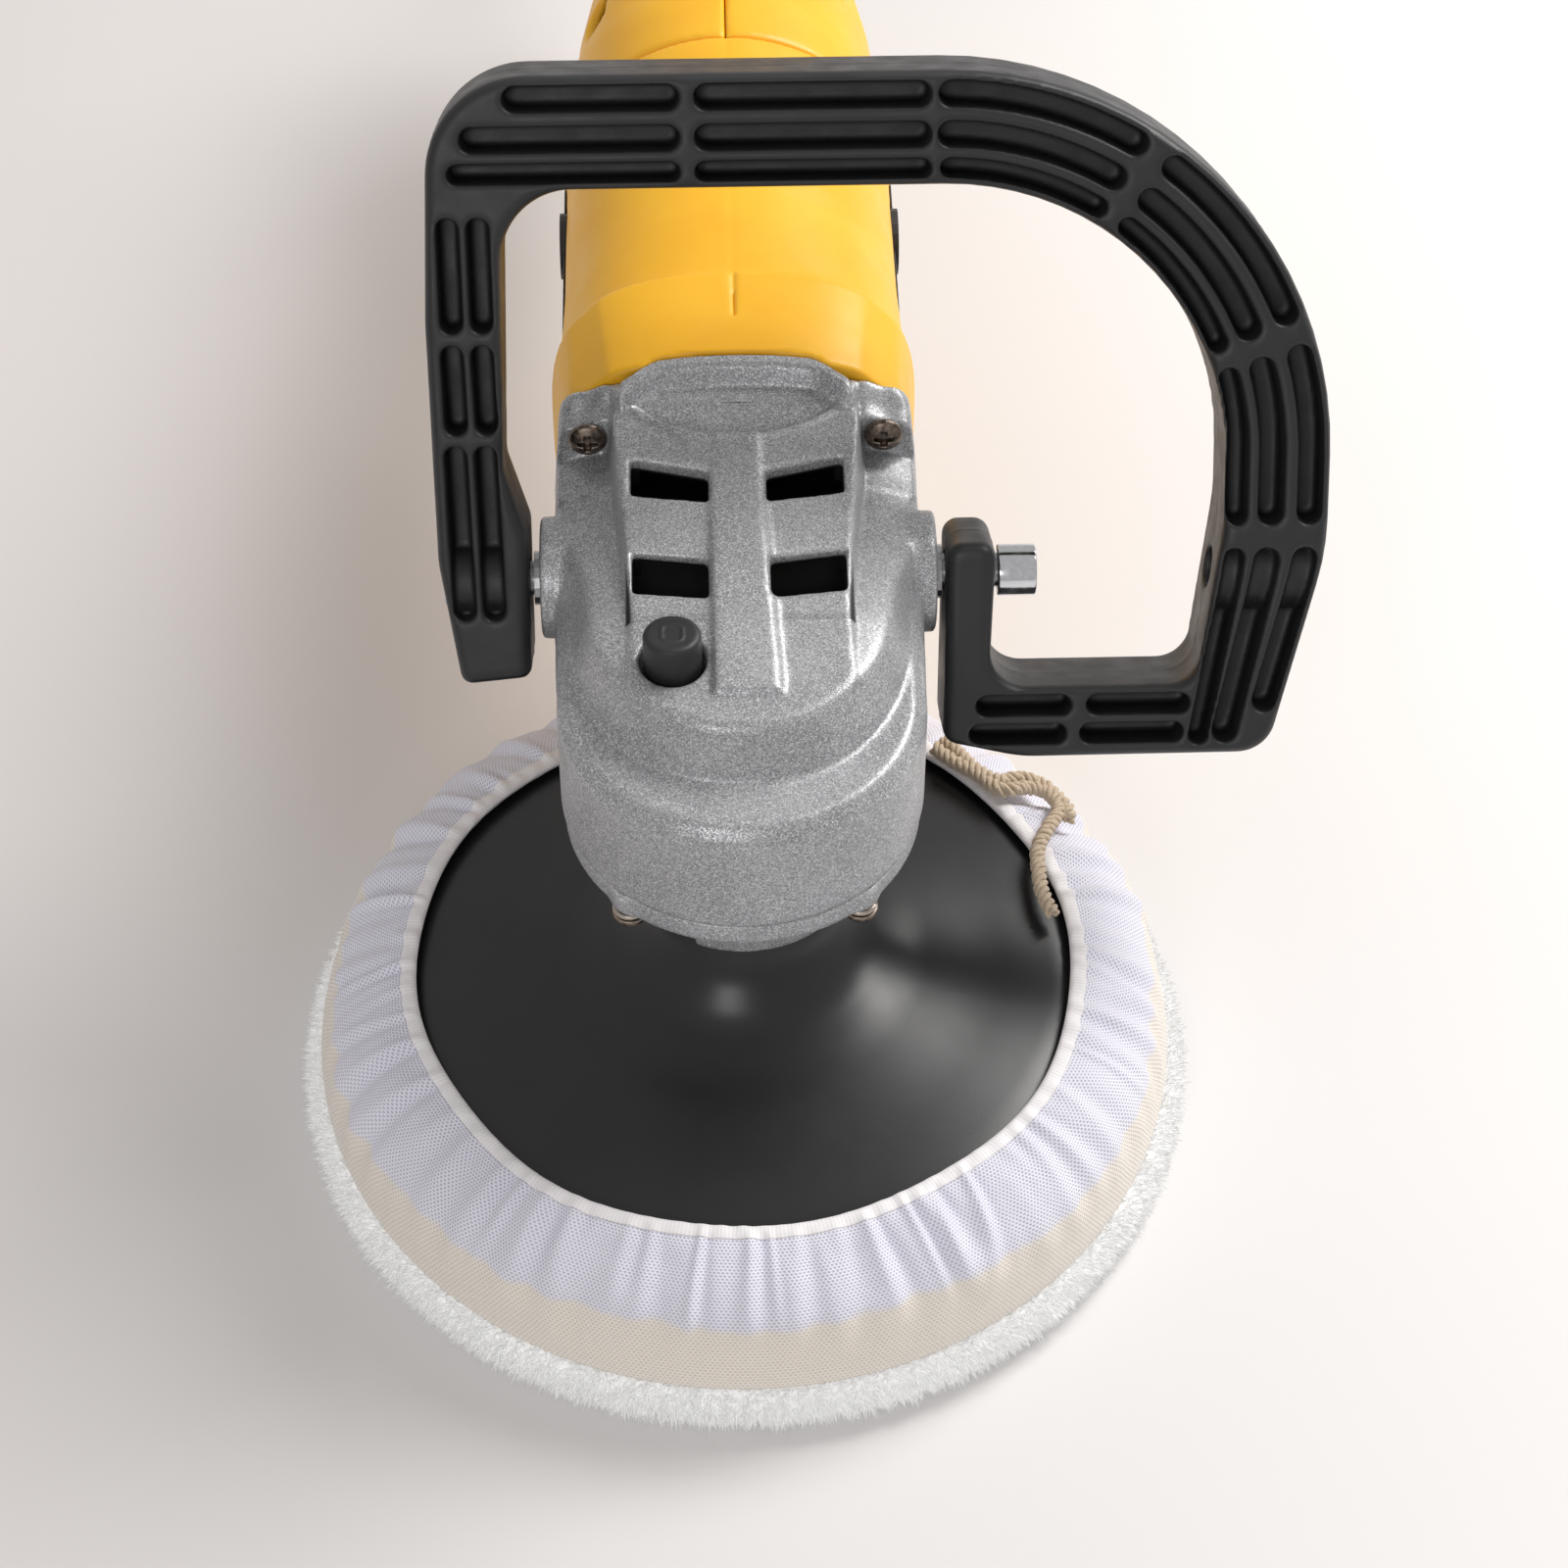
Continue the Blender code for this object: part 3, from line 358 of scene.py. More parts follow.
def sweep(path, radii, sides=10):
    """Points and faces of a round strand along a path, closed to a point at both ends."""
    first, second = path_frames(path)
    angles = np.arange(sides) * 2 * math.pi / sides
    radii = np.broadcast_to(radii, len(path)).copy()
    radii[0] = radii[-1] = 0.02
    across = first[:, None] * np.cos(angles)[None, :, None] + second[:, None] * np.sin(angles)[None, :, None]
    points = path[:, None] + across * radii[:, None, None]
    return points.reshape(-1, 3), grid_faces(len(path), sides)


def merge(parts):
    """One set of points and faces from several."""
    points, faces, start = [], [], 0
    for p, f in parts:
        points.append(p)
        faces.append(f + start)
        start += len(p)
    return np.vstack(points), np.vstack(faces)


def place(obj, body, slot, *nodes):
    """Finishes a new piece: its material, the body it rides on and the CAD nodes it stands for."""
    obj.data.materials.append(FINISHES[slot])
    if nodes:
        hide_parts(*nodes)
    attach(obj, body)
    return obj


# ---------------------------------------------------------------- finishes


def paint(red, green, blue):
    """An sRGB colour of 0 to 255 as a shader's linear colour."""
    return (*(((c / 255 + 0.055) / 1.055) ** 2.4 for c in (red, green, blue)), 1)


class Finish:
    """A material whose nodes work in millimetres."""

    def __init__(self, slot, roughness, metallic=0.0, edge=0.25):
        self.material = bpy.data.materials.new(f"{slot}_finish")
        self.material.use_nodes = True
        self.tree = self.material.node_tree
        self.shader = self.tree.nodes["Principled BSDF"]
        self.shader.inputs["Roughness"].default_value = roughness
        self.shader.inputs["Metallic"].default_value = metallic
        place = self.add("TexCoord", output="Object")
        self.at = self.add("VectorMath", {0: place, 1: (1000, 1000, 1000)}, operation="MULTIPLY")
        self.normal = self.add("Bevel", {"Radius": edge * MM}, samples=4)
        self.wire(self.normal, "Normal")
        FINISHES[slot] = self.material

    def add(self, kind, inputs=None, output=0, **settings):
        node = self.tree.nodes.new(f"ShaderNode{kind}")
        for key, value in settings.items():
            setattr(node, key, value)
        for key, value in (inputs or {}).items():
            if isinstance(value, bpy.types.NodeSocket):
                self.tree.links.new(value, node.inputs[key])
            else:
                node.inputs[key].default_value = value
        return node.outputs[output]

    def wire(self, value, key):
        self.tree.links.new(value, self.shader.inputs[key])

    def noise(self, scale, detail=2, at=None, stretch=None):
        at = at or self.at
        if stretch:
            at = self.add("VectorMath", {0: at, 1: stretch}, operation="MULTIPLY")
        return self.add("TexNoise", {"Vector": at, "Scale": scale, "Detail": detail})

    def cells(self, scale, output="Distance", randomness=1.0, at=None):
        return self.add(
            "TexVoronoi", {"Vector": at or self.at, "Scale": scale, "Randomness": randomness}, output
        )

    def span(self, value, low, high, first=0.0, last=1.0):
        return self.add("MapRange", {0: value, 1: low, 2: high, 3: first, 4: last})

    def mix(self, share, first, last):
        return self.add("Mix", {0: share, 6: first, 7: last}, 2, data_type="RGBA")

    def tones(self, share, first, last):
        """The base colour, from one (red, green, blue) to another."""
        self.wire(self.mix(share, paint(*first), paint(*last)), "Base Color")

    def gloss(self, value, low, high, first, last):
        """The roughness, from first to last as the value goes from low to high."""
        self.wire(self.span(value, low, high, first, last), "Roughness")

    def weight(self, key, value):
        self.shader.inputs[f"{key} Weight"].default_value = value

    def axes(self):
        return [self.add("SeparateXYZ", {0: self.at}, n) for n in range(3)]

    def maths(self, operation, first, last=0.0):
        return self.add("Math", {0: first, 1: last}, operation=operation)

    def bump(self, height, depth, strength=1.0):
        """Relief of this many millimetres on top of what is there already."""
        inputs = {"Height": height, "Distance": depth * MM, "Strength": strength, "Normal": self.normal}
        self.normal = self.add("Bump", inputs)
        self.wire(self.normal, "Normal")

    def edge_highlight_and_crease_shade(self, base, edge, low=0.52, high=0.6):
        """Painted light by how pointed the surface is: a paler colour paints highlight along convex edges, a
        darker one paints shade in creases.
        """
        point = self.add("NewGeometry", output="Pointiness")
        return self.mix(self.span(point, low, high), base, edge)


FINISHES = {}


def duct_painted_shade(f):
    """Painted shade of the air duct under the vents: 1 within a box round the duct, below a height just under
    the housing's top, and 0 elsewhere. The box has no floor, so silver-painted surfaces under the duct within
    it, such as the retainer's rear, are darkened too.
    """
    x, y, z = f.axes()
    across = f.span(f.maths("ABSOLUTE", x), 24.6, 24.2)
    back = f.span(f.maths("ABSOLUTE", f.maths("SUBTRACT", y, 42)), 33.0, 32.5)
    return f.maths("MULTIPLY", f.maths("MULTIPLY", across, back), f.span(z, 142.9, 142.3))


def silver_paint():
    f = Finish("silver_paint", 0.42, 0.35, 0.5)
    grain = f.cells(4.4, "Color")
    flake = f.add("SeparateColor", {0: grain})
    cloud = f.noise(0.06, 4)
    shade = f.mix(f.span(cloud, 0.35, 0.65), paint(148, 149, 152), paint(168, 169, 172))
    bright = f.mix(f.span(flake, 0.6, 1.0), shade, paint(222, 223, 226))
    dark = f.mix(f.span(flake, 0.28, 0.0), bright, paint(116, 117, 120))
    # Near white along convex edges: painted highlight.
    painted = f.edge_highlight_and_crease_shade(dark, paint(240, 240, 242), 0.53, 0.62)
    # Darker in creases and grooves: painted shade.
    painted = f.edge_highlight_and_crease_shade(painted, paint(104, 104, 107), 0.475, 0.40)
    # Near black where the duct mask is 1: painted shade.
    f.wire(f.mix(duct_painted_shade(f), painted, paint(38, 37, 37)), "Base Color")
    f.gloss(flake, 0, 1, 0.48, 0.3)
    f.bump(f.noise(3.6, 3), 0.07, 0.5)
    f.bump(f.noise(0.5, 3), 0.15, 0.2)


def moulded(slot, colour, shade, roughness, grain, depth, edge, haze=0.075):
    """Moulded plastic: a fine spark-eroded grain, slow shifts of tone, and a painted highlight along the
    edges.
    """
    f = Finish(slot, roughness, 0.0, edge)
    cloud = f.noise(0.05, 4)
    tone = f.mix(f.span(cloud, 0.3, 0.7), shade, colour)
    # Paler along convex edges: painted highlight.
    highlight_colour = tuple(min(1.0, c * 1.6 + 0.004) for c in colour[:3]) + (1,)
    f.wire(f.edge_highlight_and_crease_shade(tone, highlight_colour, 0.54, 0.66), "Base Color")
    smear = f.noise(0.16, 5)
    f.gloss(smear, 0.3, 0.75, roughness - haze, roughness + haze)
    f.bump(f.noise(grain, 3), depth, 0.5)
    return f


def plastics():
    moulded("yellow_plastic", paint(255, 193, 38), paint(250, 183, 30), 0.42, 4.0, 0.035, 0.4)
    moulded("black_plastic", paint(38, 38, 40), paint(32, 32, 34), 0.46, 3.2, 0.10, 0.4)
    plate = moulded("plate_plastic", paint(34, 34, 36), paint(29, 29, 31), 0.31, 2.2, 0.02, 0.3, 0.015)
    specks = plate.cells(0.12)
    plate.bump(plate.span(specks, 0.0, 0.06, 1, 0), 0.05, 0.5)
    rubber = moulded("cord_rubber", paint(30, 30, 31), paint(24, 24, 25), 0.6, 1.6, 0.08, 0.3)
    rubber.bump(rubber.noise(0.4, 2), 0.1, 0.3)


def metals():
    steel = Finish("steel", 0.3, 1.0, 0.2)
    brush = steel.noise(1.2, 4, stretch=(0.2, 6, 6))
    steel.tones(brush, (150, 150, 153), (205, 205, 207))
    steel.gloss(brush, 0.3, 0.7, 0.22, 0.42)
    steel.bump(brush, 0.02, 0.5)

    chrome = Finish("chrome", 0.12, 1.0, 0.3)
    haze = chrome.noise(0.8, 4)
    chrome.tones(haze, (205, 206, 210), (235, 236, 240))
    chrome.gloss(haze, 0.35, 0.75, 0.08, 0.24)

    bronzed = Finish("bronzed_steel", 0.35, 1.0, 0.15)
    tarnish = bronzed.noise(0.9, 5)
    tone = bronzed.mix(bronzed.span(tarnish, 0.35, 0.65), paint(96, 84, 76), paint(146, 132, 120))
    # Pale along the heads' edges: painted highlight.
    bronzed.wire(bronzed.edge_highlight_and_crease_shade(tone, paint(205, 195, 185)), "Base Color")
    bronzed.gloss(tarnish, 0.3, 0.7, 0.28, 0.5)

    brass = Finish("brass", 0.35, 1.0, 0.2)
    rolled = brass.noise(1.0, 4, stretch=(5, 0.4, 5))
    brass.tones(rolled, (176, 141, 70), (214, 182, 104))
    brass.bump(rolled, 0.02, 0.4)

    sheets = Finish("lamination", 0.45, 0.9, 0.1)
    layers = sheets.maths("PINGPONG", sheets.axes()[1], 0.35)
    sheets.tones(sheets.span(layers, 0.02, 0.2), (52, 50, 50), (128, 126, 124))
    sheets.bump(sheets.span(layers, 0.0, 0.15), 0.08, 0.8)

    copper = Finish("copper", 0.3, 1.0, 0.1)
    drawn_out = copper.add("VectorMath", {0: copper.at, 1: (1, 0.12, 1)}, operation="MULTIPLY")
    strands = copper.cells(1.7, "Distance", 0.5, drawn_out)
    copper.tones(copper.span(strands, 0.1, 0.6), (214, 128, 84), (120, 58, 34))
    copper.bump(copper.span(strands, 0.1, 0.6, 1, 0), 0.2, 0.8)


def small_finishes():
    carbon = Finish("carbon", 0.75, 0.0, 0.1)
    carbon.tones(carbon.noise(1.5, 5), (30, 30, 31), (62, 61, 60))
    carbon.bump(carbon.noise(5, 3), 0.05, 0.7)

    felt = Finish("felt", 0.95, 0.0, 0.1)
    hairs = felt.noise(2.5, 5, stretch=(1, 1, 4))
    felt.tones(hairs, (92, 86, 78), (160, 152, 140))
    felt.bump(hairs, 0.3, 0.9)

    board = Finish("circuit_board", 0.4, 0.0, 0.1)
    pads = board.cells(0.45, "Distance", 0.2)
    tracks = board.span(board.maths("PINGPONG", board.noise(0.25, 1), 0.05), 0.02, 0.025)
    green = board.mix(tracks, paint(20, 84, 48), paint(34, 112, 64))
    board.wire(board.mix(board.span(pads, 0.2, 0.22), paint(196, 198, 196), green), "Base Color")
    board.bump(pads, 0.1, 0.5)

    foam = Finish("foam", 0.95, 0.0, 0.3)
    pores = foam.cells(1.3)
    foam.tones(foam.span(pores, 0.05, 0.45), (186, 172, 142), (240, 230, 208))
    foam.bump(foam.span(pores, 0.0, 0.5), 0.4, 0.9)
    foam.weight("Subsurface", 0.15)


def flat_length(f, x, y):
    return f.add("VectorMath", {0: f.add("CombineXYZ", {0: x, 1: y})}, 1, operation="LENGTH")


def polar_places(f):
    """Three sockets: the way round the spindle at a radius of 90, then the radius and the height."""
    x, y, z = f.axes()
    return f.maths("MULTIPLY", f.maths("ARCTAN2", y, x), 90), flat_length(f, x, y), z


def bonnet_cloth():
    """Warp-knitted mesh: staggered rows of small holes between smooth yarns."""
    f = Finish("bonnet_cloth", 0.85, 0.0, 0.1)
    round_way, radius, z = polar_places(f)
    pitch, row_pitch = 1.0, 0.87

    def in_cell(way, size):
        return f.maths("SUBTRACT", f.maths("FRACT", f.maths("DIVIDE", way, size)), 0.5)

    down = f.maths("SUBTRACT", radius, f.maths("MULTIPLY", z, 0.8))
    row = f.maths("FLOOR", f.maths("DIVIDE", down, row_pitch))
    stagger = f.maths("MULTIPLY", f.maths("MODULO", row, 2.0), pitch / 2)
    along_row = in_cell(f.maths("ADD", round_way, stagger), pitch)
    yarn = f.span(flat_length(f, along_row, in_cell(down, row_pitch)), 0.18, 0.42)
    lower = f.span(z, 29.0, 30.5, 1.0, 0.0)
    thread = f.mix(lower, paint(240, 239, 250), paint(245, 238, 230))
    # In the holes: above the band a greyer lavender, painted shade under the mesh; in the band the cream of
    # the foam showing through.
    gap = f.mix(lower, paint(196, 195, 212), paint(223, 211, 196))
    f.wire(f.mix(yarn, gap, thread), "Base Color")
    f.bump(yarn, 0.18, 0.9)
    f.bump(f.noise(0.25, 3), 0.5, 0.4)
    f.weight("Sheen", 0.3)


def cotton():
    f = Finish("cotton", 0.95, 0.0, 0.1)
    fibre = f.noise(3.5, 5, stretch=(1, 1, 3))
    f.tones(fibre, (190, 164, 134), (240, 223, 198))
    f.bump(fibre, 0.3, 0.9)
    f.weight("Sheen", 0.4)


def extra_finishes():
    """Two finishes of the bonnet that share its slot: the smooth hem tape, and the plush."""
    hem = Finish("hem", 0.8, 0.0, 0.1)
    rib = hem.maths("PINGPONG", polar_places(hem)[0], 0.5)
    hem.tones(hem.span(rib, 0.0, 0.4), (236, 232, 234), (246, 243, 245))
    hem.bump(rib, 0.10, 0.5)
    hem.bump(hem.noise(0.6, 3), 0.3, 0.5)

    plush = Finish("plush", 0.9, 0.0, 0.1)
    tufts = plush.noise(0.7, 5)
    plush.tones(plush.span(tufts, 0.3, 0.7), (240, 240, 240), (253, 253, 252))
    plush.bump(tufts, 0.6, 0.7)
    plush.shader.inputs["Emission Color"].default_value = (1, 1, 1, 1)
    plush.shader.inputs["Emission Strength"].default_value = PLUSH_GLOW
    plush.weight("Sheen", 0.5)


silver_paint()
plastics()
metals()
small_finishes()
bonnet_cloth()
cotton()
extra_finishes()
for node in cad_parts.values():
    for material_slot in node.material_slots:
        material_slot.material = FINISHES[material_slot.material.name.split(".")[0]]


# ---------------------------------------------------------------- gear housing


def block_top(x, y):
    """Height of the housing's top, with its panel, rib, scoop, shoulders and ears."""
    ax = np.abs(x)
    plateau = 141.2 + 2.9 * ramp(y, -24, 40)
    border = 27.8 - 4.0 * np.clip((66 - y) / 50, 0, 1)
    low_side = 133.6 + 7.6 * ramp(-y, -66, -8)
    shoulder = low_side - 0.16 * np.maximum(ax - border, 0) - 0.012 * np.maximum(ax - border, 0) ** 2
    beside = ramp(ax - border, -0.9, 0.9)
    top = plateau * (1 - beside) + np.minimum(plateau, shoulder) * beside
    panel = (1 - beside) * ramp(y, 12, 22)
    top = top + panel * (0.9 + 1.3 * ramp(y, 44, 64) - 0.5 * ramp(ax, 8, 25))
    rib_left = -6.0 + 1.2 * ramp(y, 40, 62)
    rib_right = 8.2 - 3.1 * np.clip((y + 6) / 60, 0, 1)
    rib = ramp(x, rib_left - 0.9, rib_left + 0.9) * ramp(-x, -rib_right - 1.5, 1.3 - rib_right)
    rib = rib * ramp(y, -11.8, -10.2)
    top = top + rib * (1.6 - 0.9 * ramp(y, 30, 60))
    edge = 62.5 + 12.5 * (ax / 25.7) ** 2.2
    scoop = ramp(y - edge, -0.7, 0.9) * ramp(y, 59, 61)
    top = top + 0.7 * np.exp(-(((y - edge + 1.1) / 1.0) ** 2)) * (1 - ramp(ax, 22, 26))
    top = top * (1 - scoop) + (142.9 + 3.3 * ramp(y, 62, 76)) * scoop
    ear = ramp(ax, 26.2, 27.8) * ramp(y, 70.2, 71.2)
    ear_top = 142.0 + 3.9 * ramp(y, 71, 81) - 0.30 * np.maximum(ax - 29, 0) + 0.3 * np.cos((ax - 29) * 0.75)
    return top * (1 - ear) + ear_top * ear


def lip_back(x):
    """How far back the lip over the motor housing reaches."""
    return 83.4 - 2.2 * (np.abs(x) / 24) ** 2 - 5.5 * ramp(np.abs(x), 16, 28)


def carve(solid, soft, *hollows):
    for hollow in hollows:
        solid = less(solid, hollow, soft)
    return solid


def housing_outside(x, y, z):
    """The casting before anything is cut from it."""
    top = block_top(x, y)
    reach = np.hypot(x, np.minimum(y, 0))
    nose = both(reach - NOSE_R - 0.4 * ramp(y, 0, 20), y - 74)
    nose = both(nose, z - LEDGE_Z, 0.8)
    nose = both(nose, (reach - 36.8 + 0.82 * (z - LEDGE_Z)) * 0.77, 0.8)
    nose = both(nose, SEAM_Z - z, 0.8)
    taper = (0.42 - 0.3 * ramp(y, 20, 60)) * (z - LEDGE_Z)
    front = squircle(x, np.minimum(y - 20, 0), 36.5, 45.3, 2.2)
    wide = np.abs(x) - 36.5 - 3.3 * ramp(y, 20, 48)
    block = both(np.where(y < 20, front, wide) + taper, 120 - z)
    block = both(block * 0.92, (z - top) * 0.9, 1.6)
    block = both(block, y - 74)
    solid = either(nose, block, 0.5)

    up = z - MOTOR_Z
    flange = squircle(x, up, HALF_WIDTH, HALF_HEIGHT, 6)
    flange = both(flange, np.abs(x) + np.abs(up) - 68, 1)
    flange = both(flange, between(y, POCKET_Y, FLANGE_Y), 0.8)
    flange = both(flange, z - top, 1.2)
    trunk = squircle(x, z - 108, HALF_WIDTH, 35, 6)
    trunk = both(trunk, between(y, 58, POCKET_Y + 1))
    trunk = both(trunk, z - top)
    solid = either(solid, either(flange, trunk, 1.5), 1.0)
    belly = polygon(y, z, [(41, 110), (41, 99.3), (60, 76), (63, 74), (66, 74), (66, 110)])
    solid = either(solid, both(belly, np.abs(x) - 38, 4), 2)
    for side in (-1, 1):
        solid = either(solid, bar(y - PIVOT_Y, z - PIVOT_Z, side * x, 13.5, 30, 43.6, 1.2), 0.8)

    back = lip_back(x)
    lip = both(back - 5.9 + 0.55 * (z - 146.5) - y, y - back, 0.8)
    lip = both(both(lip, z - 151.0 + 0.7 * ramp(np.abs(x), 8, 26), 0.7), 144 - z)
    return either(solid, both(lip, np.abs(x) - 25.8, 1.5), 0.3)


def housing_cuts(solid, x, y, z):
    """Screw pockets, bolt and screw holes, and the air vents, on both sides."""
    up = z - MOTOR_Z
    for side in (-1, 1):
        u = side * x
        upper_pocket = brick(u, y, z, (28.4, 64.6, 132.9), (48, POCKET_Y, 160), 1.2)
        lower_pocket = brick(u, y, z, (28.4, 40, 60), (48, POCKET_Y, 93.5), 1.5)
        solid = carve(solid, 1.0, upper_pocket, lower_pocket)
        solid = less(solid, bar(y - PIVOT_Y, z - PIVOT_Z, u, 4.4, 28.5, 50), 0.6)
        solid = carve(solid, 0.3, *(bar(u - SCREW_X, up - sz * SCREW_DZ, y, 2.2, 60, 90) for sz in (-1, 1)))
        slant = u - 6.4
        upper = both(both(43.0 + 0.176 * slant - y, y - 52 - 0.26 * slant, 1.2), between(u, 6.3, 23.3), 1.2)
        lower = both(both(15.7 + 0.11 * slant - y, y - 26 - 0.15 * slant, 1.2), between(u, 6.6, 23), 1.2)
        solid = carve(solid, 1.0, both(upper, 136 - z), both(lower, 136 - z))
    return less(solid, both(np.hypot(x - LOCK_X, y - LOCK_Y) - 7.1, 130.5 - z), 0.8)


def housing_hollows(solid, x, y, z):
    """The air duct, and the chambers of the gears, bearings and fan."""
    low_duct = brick(x, y, z, (-24, 10, 130.5), (24, 72, 136.8), 0.5)
    duct = either(low_duct, brick(x, y, z, (-21.4, 11, 130.5), (21.4, 70, 141.4), 0.5))
    from_spindle, from_shaft = np.hypot(x, y), np.hypot(x, z - MOTOR_Z)
    gears = both(from_spindle - 33, z - MOTOR_Z)
    roof = both(both(from_spindle - 31, 11.5 - from_spindle), z - 126)
    needle = both(from_spindle - 7.4, z - 126.5)
    pinion = both(from_shaft - 12, between(y, 8, 51))
    seat = both(from_shaft - 16.3, between(y, 49.5, 74))
    fan = both(from_shaft - 33.6, 73 - y)
    pin = bar(x - LOCK_X, y - LOCK_Y, z, 3.1, 118, 132)
    return carve(solid, 0.3, duct, gears, both(roof, 100 - z), both(needle, 100 - z), pinion, seat, fan, pin)


def gear_housing():
    s = Space((-45, -42, 71), (45, 86, 153), 0.62)
    solid = housing_outside(s.x, s.y, s.z)
    solid = housing_cuts(solid, s.x, s.y, s.z)
    solid = housing_hollows(solid, s.x, s.y, s.z)
    place(skin("gear_casting", solid, s), TOOL, "silver_paint", "gear_housing")


def retainer():
    s = Space((-43, -43, 72), (43, 43, SEAM_Z + 1), 0.6)
    x, y, z = s.x, s.y, s.z
    radius = np.hypot(x, y)
    flange = both(radius - 38.9, between(z, 93, SEAM_Z - GAP), 0.8)
    spigot = both(radius - 32.5, between(z, 93, SEAM_Z - GAP))
    collar = both(radius - 25.8, between(z, 73.8, 94), 1.0)
    body = either(either(flange, spigot), collar, 2.0)
    places = [(36.4 * math.cos(a), 36.4 * math.sin(a)) for a in np.radians((-47, -133, 47, 133))]
    for cx, cy in places:
        body = either(body, bar(x - cx, y - cy, z, 3.7, 93.2, SEAM_Z - GAP, 0.8), 1.5)
    for cx, cy in places:
        body = less(body, bar(x - cx, y - cy, z, 2.3, 80, 110), 0.3)
    body = less(body, both(radius - 16.3, between(z, 84, 96.5)), 0.3)
    body = less(body, radius - 12, 0.5)
    body = less(body, both(radius - 32.5, 96.5 - z), 0.3)
    body = less(body, brick(x, y, z, (-23, -30, 60), (-11, -17, 80), 1), 0.8)
    place(skin("retainer_casting", body, s), TOOL, "silver_paint", "bearing_retainer")
    shank_side = soften([(NEAR_AXIS, 107.3), (1.9, 107.3), (1.9, 92.7), (NEAR_AXIS, 92.7)], 0.2)
    head_side = [(NEAR_AXIS, 90.9), (3.8, 90.9), (3.8, 89.6), (2.8, 88.4), (NEAR_AXIS, 88.4)]
    head_side = soften(head_side, 0.4)
    turns = np.linspace(0, 2 * math.pi * 0.97, 40)
    for number, (cx, cy) in enumerate(places, 1):
        at = (cx, cy, 0)
        head = lathe(f"retainer_screw_head_{number}", head_side, at, sides=40)
        place(head, TOOL, "bronzed_steel", f"retainer_screw_{number}")
        shank = lathe(f"retainer_screw_shank_{number}", shank_side, at, sides=24)
        place(shank, TOOL, "bronzed_steel")
        rise = 91.4 + 0.7 * turns / (2 * math.pi)
        coil = np.stack([cx + 3.1 * np.cos(turns), cy + 3.1 * np.sin(turns), rise], 1)
        washer = from_arrays(f"split_washer_{number}", *sweep(coil, 0.72, 8))
        place(washer, TOOL, "bronzed_steel")


def cross_head(s, radius, low, high, dome):
    """A pan head along the grid's z, domed below, with a cross recess."""
    x, y, z = s.x, s.y, s.z
    r = np.hypot(x, y)
    head = both(both(r - radius, z - high, 0.3), low + dome * (r / radius) ** 2.2 - z, 0.5)
    depth = z - (low + 1.7)
    width = 0.55 - 0.16 * depth
    arm = both(both(np.abs(x) - width, np.abs(y) - 2.3, 0.3), depth)
    other = both(both(np.abs(y) - width, np.abs(x) - 2.3, 0.3), depth)
    return less(head, either(arm, other, 0.4), 0.3)


def housing_screws():
    s = Space((-4.8, -4.8, 67.6), (4.8, 4.8, 71.2), 0.16)
    head = cross_head(s, 4.3, 68, 70.7, 1.5)
    shank_side = [(2.1, 70.7), (2.1, 102), (NEAR_AXIS, 102), (NEAR_AXIS, 70.7)]
    shank_side = soften(shank_side, 0.3)
    for number, (sx, sz) in enumerate(PLACES, 1):
        at = (sx * SCREW_X, 0, MOTOR_Z + sz * SCREW_DZ)
        cap = skin(f"screw_head_{number}", head, s, at, "Y")
        place(cap, TOOL, "bronzed_steel", f"housing_screw_{number}")
        place(lathe(f"screw_shank_{number}", shank_side, at, "Y", 24), TOOL, "bronzed_steel")


def lock_button():
    s = Space((-7.5, -7.5, 138), (7.5, 7.5, 151.5), 0.2)
    x, y, z = s.x, s.y, s.z
    r = np.hypot(x, y)
    cap = both(both(r - 6.2, z - (LOCK_TOP - 0.08 * y), 1.6), 139 - z, 0.3)
    frame_mark = np.abs(brick(x, y, z, (-2.2, -2.4, 0), (2.2, 2.4, 300), 1.2)) - 0.28
    cap = either(cap, both(frame_mark, between(z, 148, LOCK_TOP - 0.08 * y + 0.12)), 0.3)
    place(skin("lock_cap", cap, s, (LOCK_X, LOCK_Y, 0)), "lock_body", "black_plastic", "lock_button")

    low, high = extent("lock_spring")
    turn = np.linspace(0, 1, 97)
    angles = turn * SPRING_TURNS * 2 * math.pi
    radius = (high[0] - low[0]) / 2 - SPRING_WIRE
    rise = low[2] + SPRING_WIRE + turn * (high[2] - low[2] - 2 * SPRING_WIRE)
    helix = np.column_stack([LOCK_X + radius * np.cos(angles), LOCK_Y + radius * np.sin(angles), rise])
    coil = place(from_arrays("lock_button_coil", *sweep(helix, SPRING_WIRE, 8)), TOOL, "steel", "lock_spring")
    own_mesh(coil)


# ---------------------------------------------------------------- bail handle


def rounded(corners, step=5):
    """A closed outline of (x, y, radius) corners, each rounded by an arc."""
    outline = []
    for i, (x, y, radius) in enumerate(corners):
        here = Vector((x, y))
        before = (Vector(corners[i - 1][:2]) - here).normalized()
        after = (Vector(corners[(i + 1) % len(corners)][:2]) - here).normalized()
        half = before.angle(after) / 2
        centre = here + (before + after).normalized() * radius / math.sin(half)
        first = here + before * radius / math.tan(half) - centre
        turn = first.angle_signed(here + after * radius / math.tan(half) - centre)
        count = max(1, math.ceil(abs(math.degrees(turn)) / step))
        for k in range(count + 1):
            outline.append(tuple(centre + Matrix.Rotation(-turn * k / count, 2) @ first))
    return outline


